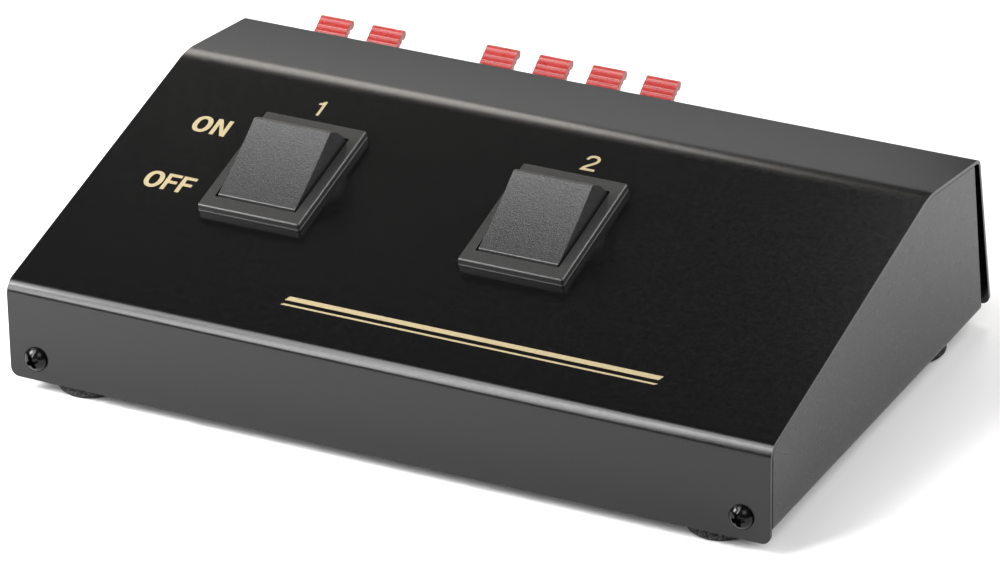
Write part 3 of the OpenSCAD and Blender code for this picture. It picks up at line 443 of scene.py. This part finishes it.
# ---- Chassis -------------------------------------------------------------------------------------
# A second sheet, 1 mm thick, folded up into base plate and side cheeks. It slides in under the cover
# with a hair of air along the edges; tabs at its front and rear take the case screws.
chassis_t, base_up, bend_r, chassis_edge = 1.0, 1.9, 1.6, 0.12
cheek_half_w = cover_w / 2 - 0.2
cheek_air, front_air = 0.32, 0.85
cheek_short, tray_short, seam_up = 2.7, 4.7, 5
cheek_top = aside(case_line, -sheet - cheek_air)
cheek_front = cheek_top[0].x + front_air - cheek_air
cheek_rear = rear_edge.x - cheek_short
tray_rear = rear_foot.x - tray_short
drop = (cheek_top[2].y - cheek_top[3].y) / (cheek_top[3].x - cheek_top[2].x)
cheek_outline = folded(
    [
        Vector((cheek_front, base_up + seam_up)), Vector((cheek_front, cheek_top[1].y)), cheek_top[2],
        Vector((cheek_rear, cheek_top[2].y - drop * (cheek_rear - cheek_top[2].x))),
        Vector((tray_rear, base_up)), Vector((cheek_front, base_up)),
        Vector((cheek_front, base_up + seam_up)),
    ],
    [fold_radii[0] - sheet - cheek_air, fold_radii[1] - sheet - cheek_air, 0.4, 1.5, 0.3],
)[:-1]
channel_height, channel_span = 60, (-5, 130)
outside = folded(
    [Vector((-cheek_half_w, channel_height)), Vector((-cheek_half_w, base_up)),
     Vector((cheek_half_w, base_up)), Vector((cheek_half_w, channel_height))],
    [bend_r, bend_r], 8,
)
inside = folded(
    [Vector((-cheek_half_w + chassis_t, channel_height)),
     Vector((-cheek_half_w + chassis_t, base_up + chassis_t)),
     Vector((cheek_half_w - chassis_t, base_up + chassis_t)),
     Vector((cheek_half_w - chassis_t, channel_height))],
    [bend_r - chassis_t, bend_r - chassis_t], 8,
)
channel = outside + inside[::-1]
n = len(channel)
chassis = mesh_piece(
    "chassis_tray",
    [(p.x, y, p.y) for y in channel_span for p in channel],
    [(k, (k + 1) % n, (k + 1) % n + n, k + n) for k in range(n)]
    + [tuple(range(n)), tuple(range(n, 2 * n))],
)
worked(chassis, [prism("cheek", cheek_outline, -cover_w, cover_w)], "INTERSECT")
tab_mid, tab_half_w, tab_h = 82.6, 5.5, 8
tongue_in, tongue_out, rear_tab_low, tab_under = 3, 2.6, 0.9, 1.0
front_y = cheek_top[0].x
tabs = []
for side in (-1, 1):
    low_x, high_x = side * tab_mid - tab_half_w, side * tab_mid + tab_half_w
    tabs.append(brick("tab", (low_x, front_y, base_up), (high_x, front_y + chassis_t, base_up + tab_h)))
    tabs.append(brick(
        "tongue", (low_x, tray_rear - tongue_in, base_up),
        (high_x, tray_rear + tongue_out, base_up + chassis_t),
    ))
    tabs.append(brick(
        "rear_tab", (-high_x, rear_tab_low, -tab_under - chassis_t), (-low_x, tab_h, -tab_under),
        on_wall(0, wall_length),
    ))
worked(chassis, tabs, "UNION")
grey_black = (0.004, 0.004, 0.0042)
chassis_paint, surface = shader("satin_grey_black_paint", grey_black, 0.29)
surface.inputs["Specular IOR Level"].default_value = 0.36
mottled(chassis_paint, surface, grey_black, (0.006, 0.006, 0.0062), 1.6, detail=5)
uneven(chassis_paint, surface, 0.26, 0.33, 1.0, detail=4)
grained(chassis_paint, surface, 0.5, 0.001, detail=2)
eased(chassis, chassis_edge)
settled(chassis, "case", "chassis_paint", chassis_paint, "chassis")

# ---- Case screws ---------------------------------------------------------------------------------
# Four M3 pan heads with a cross recess, blackened and glossy. Two hold the cover's front wall and two
# its rear wall to the tabs of the chassis; the tree below sets one screw at each of the four places.
head_r, head_h, shank_r, shank_l = 2.75, 1.9, 1.45, 5.0
flat_r, rim_h, head_foot, dome_steps, screw_edge = 0.9, 0.45, 0.15, 10, 0.07
arm_l, arm_w, tip_l, tip_w, recess_deep = 2.0, 0.62, 1.05, 0.40, 1.4


def pan_head():
    """A screw with a domed head, cut by a cross whose arms taper towards its bottom."""
    dome_z = (flat_r**2 + head_h**2 - head_r**2 - rim_h**2) / (2 * (head_h - rim_h))
    dome_r = math.hypot(flat_r, head_h - dome_z)
    start = math.atan2(rim_h - dome_z, head_r)
    end = math.atan2(head_h - dome_z, flat_r)
    bends = [start + (end - start) * k / dome_steps for k in range(dome_steps + 1)]
    dome = [(dome_r * math.cos(a), dome_z + dome_r * math.sin(a)) for a in bends]
    line = [(0, -shank_l), (shank_r, -shank_l), (shank_r, 0), (head_r - head_foot, 0), (head_r, head_foot)]
    screw = lathed("screw", line + dome + [(0, head_h)], steps=64)
    arms = []
    for turn in (0, math.pi / 2):
        arm = brick("arm", (-arm_l, -arm_w, head_h - recess_deep), (arm_l, arm_w, head_h + 1))
        for v in arm.data.vertices:
            if v.co.z < head_h:
                v.co.x *= tip_l / arm_l
                v.co.y *= tip_w / arm_w
            v.co.rotate(Matrix.Rotation(turn, 3, "Z"))
        arms.append(arm)
    worked(arms[0], [arms[1]], "UNION")
    worked(screw, [arms[0]])
    return eased(screw, screw_edge)


def placed_by(name, shape, places, finish):
    """Sets a copy of a shape at each place, with a tree of geometry nodes."""
    points = bpy.data.meshes.new(name)
    points.from_pydata([p.to_translation() for p in places], [], [])
    turns = points.attributes.new("turn", "FLOAT_VECTOR", "POINT")
    for item, place in zip(turns.data, places):
        item.vector = place.to_euler()
    piece = bpy.data.objects.new(name, points)
    bpy.context.collection.objects.link(piece)
    tree = bpy.data.node_groups.new(name, "GeometryNodeTree")
    face = tree.interface
    face.new_socket("Geometry", in_out="INPUT", socket_type="NodeSocketGeometry")
    shape_in = face.new_socket("Shape", in_out="INPUT", socket_type="NodeSocketObject")
    size_in = face.new_socket("Size", in_out="INPUT", socket_type="NodeSocketFloat")
    finish_in = face.new_socket("Finish", in_out="INPUT", socket_type="NodeSocketMaterial")
    face.new_socket("Geometry", in_out="OUTPUT", socket_type="NodeSocketGeometry")
    nodes, links = tree.nodes, tree.links
    start, end = nodes.new("NodeGroupInput"), nodes.new("NodeGroupOutput")
    info = nodes.new("GeometryNodeObjectInfo")
    turn = nodes.new("GeometryNodeInputNamedAttribute")
    turn.data_type = "FLOAT_VECTOR"
    turn.inputs["Name"].default_value = "turn"
    spread = nodes.new("GeometryNodeInstanceOnPoints")
    real = nodes.new("GeometryNodeRealizeInstances")
    paint = nodes.new("GeometryNodeSetMaterial")
    links.new(start.outputs["Geometry"], spread.inputs["Points"])
    links.new(start.outputs["Shape"], info.inputs["Object"])
    links.new(info.outputs["Geometry"], spread.inputs["Instance"])
    links.new(turn.outputs["Attribute"], spread.inputs["Rotation"])
    links.new(start.outputs["Size"], spread.inputs["Scale"])
    links.new(spread.outputs["Instances"], real.inputs["Geometry"])
    links.new(real.outputs["Geometry"], paint.inputs["Geometry"])
    links.new(start.outputs["Finish"], paint.inputs["Material"])
    links.new(paint.outputs["Geometry"], end.inputs["Geometry"])
    modifier = piece.modifiers.new(name, "NODES")
    modifier.node_group = tree
    modifier[shape_in.identifier] = shape
    modifier[size_in.identifier] = 1.0
    modifier[finish_in.identifier] = finish
    evaluated(piece)
    bpy.data.objects.remove(shape)
    return piece


screw_black, surface = shader("blackened_screw", (0.003, 0.003, 0.003), 0.14)
surface.inputs["Specular IOR Level"].default_value = 0.20
uneven(screw_black, surface, 0.10, 0.20, 0.5, detail=4)
grained(screw_black, surface, 0.25, 0.003, detail=3)
screw_places = [
    place @ Matrix.Rotation(turn, 4, "Z")
    for place, turn in (
        (on_front(-screw_x, front_screw_z), 0.45),
        (on_front(screw_x, front_screw_z), 0.2),
        (on_wall(-screw_x, wall_length - rear_screw_up), 0.9),
        (on_wall(screw_x, wall_length - rear_screw_up), 0.1),
    )
]
screws = placed_by("case_screws", pan_head(), screw_places, screw_black)
settled(screws, "case", "black_screw_steel", screw_black, "front_screws", "rear_screws")

# ---- Feet ----------------------------------------------------------------------------------------
# Four round pads of black rubber, stuck to the base plate with their own adhesive. Their lower edge
# is rounded and their skin is coarse, so that they grip the table.
foot_r, foot_h, foot_round = 7.4, 5.0, 1.2
foot_at = ((75, 8.6), (79.7, 98.0))
foot_line = [(0, foot_h), (foot_r, foot_h)] + [
    (foot_r - foot_round * (1 - math.cos(a)), foot_round * (1 - math.sin(a)))
    for a in (math.pi / 2 * k / 8 for k in range(9))
] + [(0, 0)]
foot_z = base_up - foot_h
foot_places = [
    Matrix.Translation((side * x, y, foot_z)) for x, y in foot_at for side in (-1, 1)
]
rubber, surface = shader("foot_rubber", (0.016, 0.016, 0.016), 0.75)
mottled(rubber, surface, (0.001, 0.001, 0.001), (0.09, 0.09, 0.09), 0.30, edge=(0.50, 0.62), detail=2)
surface.inputs["Specular IOR Level"].default_value = 0.15
grained(rubber, surface, 0.4, 0.15, detail=3)


def rounded_off(shape, crease=math.radians(40)):
    """Shades a turned shape smooth, with its sharper edges kept."""
    shape.data.shade_smooth()
    shape.data.set_sharp_from_angle(angle=crease)
    return shape


foot_shape = rounded_off(lathed("foot", foot_line, steps=72))
feet = placed_by("rubber_feet", foot_shape, foot_places, rubber)
settled(
    feet, "case", "foot_rubber", rubber,
    "foot_front_left", "foot_front_right", "foot_rear_left", "foot_rear_right",
)

# ---- Switch housings -----------------------------------------------------------------------------
# Each switch is a moulded black box pushed into the panel from outside: its bezel lies on the paint
# and two pairs of barbs catch under the sheet. The bezel's rim has a shadow step and a broken edge.
bezel_w, bezel_l, bezel_h, ledge, chamfer = 25.0, 33.4, 2.0, 0.09, 0.24
rim_top, step_foot, body_round, rim_round, step_round, top_round = 0.42, 0.52, 0.6, 0.5, 0.45, 0.35
opening_w, opening_l, lip_l, opening_round = 19.8, 26.8, 26.1, 0.4
lip_deep, flare_deep, lip_slope = 0.3, 1.0, 0.2
housing_depth, housing_floor = 17.0, 1.5
pivot_down, pin_r, pin_air, housing_edge = 2.95, 1.5, 0.06, 0.05
# A barb, seen from the end: its root inside the wall, its reach, and the heights of its corners.
barb_in, barb_out, barb_half = 0.3, 0.6, 3
barb_top, barb_shoulder, barb_heel, barb_low = 0.9, 0.95, 1.4, 5.9


def rounded_ring(width, length, radius, z, steps=6):
    """A rectangle with rounded corners at height z."""
    ring = []
    for k, (sx, sy) in enumerate(((1, 1), (-1, 1), (-1, -1), (1, -1))):
        for j in range(steps + 1):
            a = math.pi / 2 * (k + j / steps)
            ring.append(Vector((
                sx * (width / 2 - radius) + radius * math.cos(a),
                sy * (length / 2 - radius) + radius * math.sin(a),
                z,
            )))
    return ring


def stacked(name, rings, place=Matrix.Identity(4)):
    """Skins a stack of rings of equal length and closes its first and last ring."""
    n = len(rings[0])
    vertices = [place @ v for ring in rings for v in ring]
    faces = [tuple(range(n))[::-1], tuple(range(n * (len(rings) - 1), n * len(rings)))]
    for r in range(len(rings) - 1):
        low, high = r * n, (r + 1) * n
        faces += [(low + k, low + (k + 1) % n, high + (k + 1) % n, high + k) for k in range(n)]
    return mesh_piece(name, vertices, faces)


housing_plastic, surface = shader("housing_plastic", (0.014, 0.014, 0.014), 0.40)
mottled(housing_plastic, surface, (0.013, 0.013, 0.013), (0.018, 0.018, 0.018), 1.0, detail=4)
uneven(housing_plastic, surface, 0.36, 0.45, 0.6, detail=4)
grained(housing_plastic, surface, 0.30, 0.006, detail=3)

for number, x in switch_x.items():
    place = on_panel(x, switch_up)
    step_w, step_l = bezel_w - 2 * ledge, bezel_l - 2 * ledge
    rings = [
        rounded_ring(body_w, body_l, body_round, -housing_depth),
        rounded_ring(body_w, body_l, body_round, 0),
        rounded_ring(bezel_w, bezel_l, rim_round, 0),
        rounded_ring(bezel_w, bezel_l, rim_round, rim_top),
        rounded_ring(step_w, step_l, step_round, step_foot),
        rounded_ring(step_w, step_l, step_round, bezel_h - chamfer),
        rounded_ring(step_w - 2 * chamfer, step_l - 2 * chamfer, top_round, bezel_h),
        rounded_ring(opening_w, lip_l, opening_round, bezel_h),
        rounded_ring(opening_w, lip_l + lip_slope, opening_round, bezel_h - lip_deep),
        rounded_ring(opening_w, opening_l, opening_round, bezel_h - flare_deep),
        rounded_ring(opening_w, opening_l, opening_round, housing_floor - housing_depth),
    ]
    housing = stacked(f"switch_{number}_case", rings, place)
    barbs = []
    for side in (-1, 1):
        for y in (-body_l / 4, body_l / 4):
            root, tip = side * (body_w / 2 - barb_in), side * (body_w / 2 + barb_out)
            barb = [(root, -barb_top), (tip, -barb_shoulder), (tip, -barb_heel), (root, -barb_low)]
            corners = [place @ Vector((px, y + s * barb_half, pz)) for s in (-1, 1) for px, pz in barb]
            barbs.append(mesh_piece("barb", corners, [
                (0, 1, 2, 3), (7, 6, 5, 4), (0, 4, 5, 1), (1, 5, 6, 2), (2, 6, 7, 3), (3, 7, 4, 0)]))
    worked(housing, barbs, "UNION")
    bore = Matrix.Translation((0, 0, -pivot_down)) @ Matrix.Rotation(math.pi / 2, 4, "Y")
    worked(housing, [hole(place @ bore, pin_r + pin_air, depth=body_w)])
    eased(housing, housing_edge, sharp=math.radians(32))
    settled(housing, "case", "switch_black_plastic", housing_plastic, f"switch_{number}_housing")

# ---- Rockers -------------------------------------------------------------------------------------
# A hollow moulding in dark grey with a fine spark-eroded grain on its two-way face, which dips a
# little in the middle. It snaps onto its trunnions in the housing and rests tilted, on its OFF side.
rocker_w, face_l, face_up, face_dip = 18.9, 20.3, 8.6, 0.3
rocker_rest = math.radians(18)
skirt = math.radians(-8)
rocker_r = math.hypot(face_l / 2, face_up)
face_steps, end_steps = 24, 14
hollow_half, hollow_deep, pin_reach, rocker_edge = 3, 3, 1.3, 0.18


def rocker_section():
    """The rocker's side outline about its pivot at mid travel, as (y, z) points."""
    face_r = (face_l**2 / 4 + face_dip**2) / (2 * face_dip)
    corner = math.atan2(face_up, face_l / 2)
    face = []
    for k in range(face_steps + 1):
        y = face_l * (0.5 - k / face_steps)
        face.append((y, face_up + face_r - face_dip - math.sqrt(face_r**2 - y**2)))
    ends = [
        (rocker_r * math.cos(a), rocker_r * math.sin(a))
        for a in (skirt + (corner - skirt) * k / end_steps for k in range(end_steps))
    ]
    below = [(-hollow_half, -hollow_deep), (hollow_half, -hollow_deep)]
    return ends + face + [(-y, z) for y, z in reversed(ends)] + below


rocker_plastic, surface = shader("rocker_plastic", (0.020, 0.020, 0.020), 0.29)
mottled(rocker_plastic, surface, (0.017, 0.017, 0.017), (0.026, 0.026, 0.026), 0.5, detail=3)
uneven(rocker_plastic, surface, 0.26, 0.34, 0.35, detail=3)
grained(rocker_plastic, surface, 0.28, 0.045, detail=2)
grained(rocker_plastic, surface, 0.9, 0.020, detail=2)

for number, x in switch_x.items():
    pivot = on_panel(x, switch_up) @ Matrix.Translation((0, 0, -pivot_down))
    rocker = prism(f"switch_{number}_key", rocker_section(), -rocker_w / 2, rocker_w / 2)
    eased(rocker, rocker_edge, segments=3, sharp=math.radians(30))
    pin = Matrix.Rotation(math.pi / 2, 4, "Y")
    half = rocker_w / 2 + pin_reach
    worked(rocker, [lathed("pin", [(0, -half), (pin_r, -half), (pin_r, half), (0, half)], pin)], "UNION")
    rocker.data.transform(pivot @ Matrix.Rotation(rocker_rest, 4, "X"))
    settled(rocker, f"rocker_{number}", "rocker_grey_plastic", rocker_plastic, f"switch_{number}_rocker")

# ---- Terminal levers -----------------------------------------------------------------------------
# Push levers moulded in red and in black, one for each wire. Each has a thumb plate with three ribs
# and a beaded tip outside the wall, and two prongs inside that carry the clamp spring off the wire.
lever_edge, lever_crease = 0.12, math.radians(24)
lever_red, surface = shader("lever_red", (0.26, 0.014, 0.012), 0.34)
mottled(lever_red, surface, (0.24, 0.012, 0.010), (0.30, 0.020, 0.016), 1.2, detail=3)
uneven(lever_red, surface, 0.24, 0.38, 0.8, detail=3)
grained(lever_red, surface, 0.5, 0.004, detail=2)
lever_black, surface = shader("lever_black", (0.012, 0.012, 0.012), 0.30)
mottled(lever_black, surface, (0.010, 0.010, 0.010), (0.018, 0.018, 0.018), 1.2, detail=3)
uneven(lever_black, surface, 0.24, 0.38, 0.8, detail=3)
grained(lever_black, surface, 0.5, 0.004, detail=2)


def node_copy(node, name, merge=0.0004):
    """A copy of a CAD node in millimetres, with its triangles merged into whole faces."""
    mesh = frame["nodes"][node].data.copy()
    mesh.transform(TO_FRAME.inverted())
    work = bmesh.new()
    work.from_mesh(mesh)
    bmesh.ops.remove_doubles(work, verts=work.verts, dist=merge)
    bmesh.ops.dissolve_limit(work, angle_limit=math.radians(1), verts=work.verts, edges=work.edges)
    work.to_mesh(mesh)
    work.free()
    piece = bpy.data.objects.new(name, mesh)
    bpy.context.collection.objects.link(piece)
    return piece


for group, (_, columns, _) in terminal_groups.items():
    for colour, finish in (("red", lever_red), ("black", lever_black)):
        for number in range(1, columns + 1):
            node = f"{group}_{colour}_lever_{number}"
            lever = node_copy(node, f"{group}_{colour}_key_{number}")
            eased(lever, lever_edge, sharp=math.radians(50), crease=lever_crease)
            settled(lever, node, f"lever_{colour}_plastic", finish, node)

# ---- Terminal bodies -----------------------------------------------------------------------------
# Moulded black blocks, one with two columns of clamps and one with four. A flange lies on the rear
# wall, with a funnel for each wire under each lever.
block_edge, block_crease = 0.15, math.radians(20)
terminal_plastic, surface = shader("terminal_plastic", (0.010, 0.010, 0.010), 0.28)
mottled(terminal_plastic, surface, (0.009, 0.009, 0.009), (0.015, 0.015, 0.015), 1.5, detail=3)
uneven(terminal_plastic, surface, 0.24, 0.36, 0.9, detail=3)
grained(terminal_plastic, surface, 0.35, 0.005, detail=3)
for group in terminal_groups:
    body = node_copy(f"{group}_terminal_body", f"{group}_terminal_block")
    eased(body, block_edge, segments=1, sharp=math.radians(50), crease=block_crease)
    settled(body, "case", "terminal_black_plastic", terminal_plastic, f"{group}_terminal_body")

# ---- Rivets --------------------------------------------------------------------------------------
# Four plated steel rivets through the flanges' ears hold the terminal bodies to the rear wall.
plate_t, ear_w, wall_back, flare_h = 2.2, 5.5, 0.8, 2.4
rivet_r, flare_r, rivet_l = 1.5, 2.2, 2.8
rivet_head_r, rivet_flat_r, rivet_rim, rivet_dome = 2.6, 2.5, 0.12, 0.75
rivet_line = [
    (0, -rivet_l), (rivet_r, -rivet_l), (rivet_r, -flare_h), (flare_r, -wall_back), (rivet_r, -wall_back),
    (rivet_r, plate_t), (rivet_flat_r, plate_t), (rivet_head_r, plate_t + rivet_rim),
] + [
    (rivet_head_r * math.cos(a), plate_t + rivet_rim + rivet_dome * math.sin(a))
    for a in (math.pi / 2 * k / 8 for k in range(1, 9))
]
rivet_shape = rounded_off(lathed("rivet", rivet_line, steps=40))
rivet_steel, surface = shader("rivet_steel", (0.55, 0.55, 0.56), 0.30, metallic=1.0)
mottled(rivet_steel, surface, (0.50, 0.50, 0.51), (0.62, 0.62, 0.62), 0.6, detail=4)
uneven(rivet_steel, surface, 0.22, 0.42, 0.4, detail=4)
grained(rivet_steel, surface, 0.3, 0.004, detail=3)
rivet_places = [
    on_wall(x + side * (columns * pitch + ear_w) / 2, down)
    for x, columns, down in terminal_groups.values() for side in (-1, 1)
]
rivets = placed_by("plate_rivets", rivet_shape, rivet_places, rivet_steel)
settled(rivets, "case", "rivet_steel", rivet_steel, "terminal_rivets")

# ---- Pieces inside -------------------------------------------------------------------------------
# Stamped brass and copper contacts, spring steel strip and wire, nylon plungers and insulated wire:
# none shows from outside, and each keeps the shape that it has in the frame.
brass, surface = shader("terminal_brass", (0.60, 0.42, 0.16), 0.30, metallic=1.0)
mottled(brass, surface, (0.55, 0.38, 0.14), (0.68, 0.50, 0.22), 0.8, detail=4)
uneven(brass, surface, 0.22, 0.45, 0.5, detail=4)
grained(brass, surface, 0.2, 0.003, stretch=(1, 1, 4))
copper, surface = shader("contact_copper", (0.70, 0.32, 0.18), 0.28, metallic=1.0)
mottled(copper, surface, (0.62, 0.27, 0.15), (0.75, 0.38, 0.22), 0.8, detail=4)
uneven(copper, surface, 0.20, 0.42, 0.5, detail=4)
grained(copper, surface, 0.2, 0.003)
spring_steel, surface = shader("spring_steel", (0.50, 0.50, 0.51), 0.28, metallic=1.0)
mottled(spring_steel, surface, (0.44, 0.44, 0.46), (0.58, 0.58, 0.58), 0.6, detail=4)
uneven(spring_steel, surface, 0.20, 0.40, 0.4, detail=4)
grained(spring_steel, surface, 0.2, 0.003)
nylon, surface = shader("plunger_nylon", (0.72, 0.70, 0.63), 0.45)
mottled(nylon, surface, (0.68, 0.66, 0.59), (0.76, 0.74, 0.68), 0.8, detail=3)
uneven(nylon, surface, 0.38, 0.52, 0.5, detail=3)
grained(nylon, surface, 0.3, 0.004)
wire_red, surface = shader("wire_red", (0.42, 0.02, 0.02), 0.42)
mottled(wire_red, surface, (0.38, 0.018, 0.018), (0.48, 0.03, 0.03), 1.0, detail=3)
uneven(wire_red, surface, 0.36, 0.50, 0.6, detail=3)
grained(wire_red, surface, 0.3, 0.004)
wire_black, surface = shader("wire_black", (0.012, 0.012, 0.012), 0.42)
mottled(wire_black, surface, (0.010, 0.010, 0.010), (0.020, 0.020, 0.020), 1.0, detail=3)
uneven(wire_black, surface, 0.36, 0.50, 0.6, detail=3)
grained(wire_black, surface, 0.3, 0.004)
inner_finishes = {
    "terminal_brass": brass, "contact_copper": copper, "spring_steel": spring_steel,
    "clamp_spring_steel": spring_steel, "plunger_plastic": nylon,
    "wire_red_insulation": wire_red, "wire_black_insulation": wire_black,
}
for row in frame["record"]["subparts"]:
    if row["material_slot"] in inner_finishes:
        mesh = frame["nodes"][row["node"]].data
        mesh.materials.clear()
        mesh.materials.append(inner_finishes[row["material_slot"]])

# ---- Floor, light and camera ---------------------------------------------------------------------
# A white table top and soft lights in the places that the satin faces mirror towards the camera, so that
# each face has its own brightness. The camera stands far off with a long lens, as the photographer's did.
floor_size = 3.0
floor = mesh_piece(
    "floor", [(x * floor_size, y * floor_size, 0) for x, y in ((-1, -1), (1, -1), (1, 1), (-1, 1))],
    [(0, 1, 2, 3)],
)
floor_white, surface = shader("floor_white", (0.90, 0.90, 0.90), 0.8)
floor.data.materials.append(floor_white)


def softbox(name, middle, aim, width, height, power, tint=(1, 1, 1)):
    """A rectangular soft light at middle, in metres, that faces aim."""
    lamp = bpy.data.lights.new(name, "AREA")
    lamp.color = tint
    lamp.shape = "RECTANGLE"
    lamp.size, lamp.size_y, lamp.energy = width, height, power
    box = bpy.data.objects.new(name, lamp)
    bpy.context.collection.objects.link(box)
    box.location = middle
    box.rotation_euler = (Vector(aim) - Vector(middle)).to_track_quat("-Z", "Y").to_euler()


# The front wall and the front fold.
softbox("key_light", (-0.60, -1.10, 0.86), (0, 0, 0.02), 0.30, 1.20, 18)
softbox("near_light", (-0.34, -0.22, 0.24), (-0.16, -0.06, 0), 0.16, 0.16, 2.6)
# The table round the case, which the side and the front wall mirror.
softbox("fill_light", (0.70, -1.10, 1.20), (0.10, 0.10, 0), 0.80, 0.80, 8)
softbox("right_table_light", (0.70, 0.25, 0.90), (0.25, 0.20, 0), 0.60, 0.60, 4)
# The top and the fold below it, then the panel.
softbox("rear_light", (-0.66, 1.20, 0.40), (0, 0, 0.04), 0.62, 0.30, 0.47)
softbox("fold_light", (-0.68, 0.90, 0.72), (0, 0.02, 0.045), 0.50, 0.30, 2.3, (1, 0.97, 0.90))
softbox("panel_light", (0.02, 0.28, 0.48), (0.05, 0.02, 0.03), 0.12, 0.12, 0.55)
# The rockers' faces, then the table behind and the cut edge at the right.
softbox("rocker_light", (-0.53, -0.46, 1.12), (0, 0, 0.03), 0.50, 0.50, 6.6)
softbox("edge_light", (1.00, 0.82, 0.88), (0, 0, 0.03), 0.60, 0.60, 11)

sky = bpy.data.worlds.new("sky")
sky.use_nodes = True
sky.node_tree.nodes["Background"].inputs["Color"].default_value = (1, 1, 1, 1)
sky.node_tree.nodes["Background"].inputs["Strength"].default_value = 0.03
bpy.context.scene.world = sky
bpy.context.scene.view_settings.view_transform = "Standard"

lens_mm, sensor_mm = 219.77, 36.0
camera_turn, camera_rise, camera_roll = (math.radians(a) for a in (27.051, 26.576, -0.995))
camera_place = Vector((537.74, -996.18, 607.22))
back = Vector((
    math.sin(camera_turn) * math.cos(camera_rise),
    -math.cos(camera_turn) * math.cos(camera_rise),
    math.sin(camera_rise),
))
right = Vector((math.cos(camera_turn), math.sin(camera_turn), 0))
up = back.cross(right)
right, up = (
    right * math.cos(camera_roll) + up * math.sin(camera_roll),
    up * math.cos(camera_roll) - right * math.sin(camera_roll),
)
lens = bpy.data.cameras.new("camera")
lens.lens, lens.sensor_width = lens_mm, sensor_mm
lens.clip_start, lens.clip_end = 0.05, 20
camera = bpy.data.objects.new("camera", lens)
bpy.context.collection.objects.link(camera)
camera_axes = Matrix((right, up, back)).transposed().to_4x4()
camera.matrix_world = Matrix.Translation(TO_FRAME @ camera_place) @ camera_axes
bpy.context.scene.camera = camera
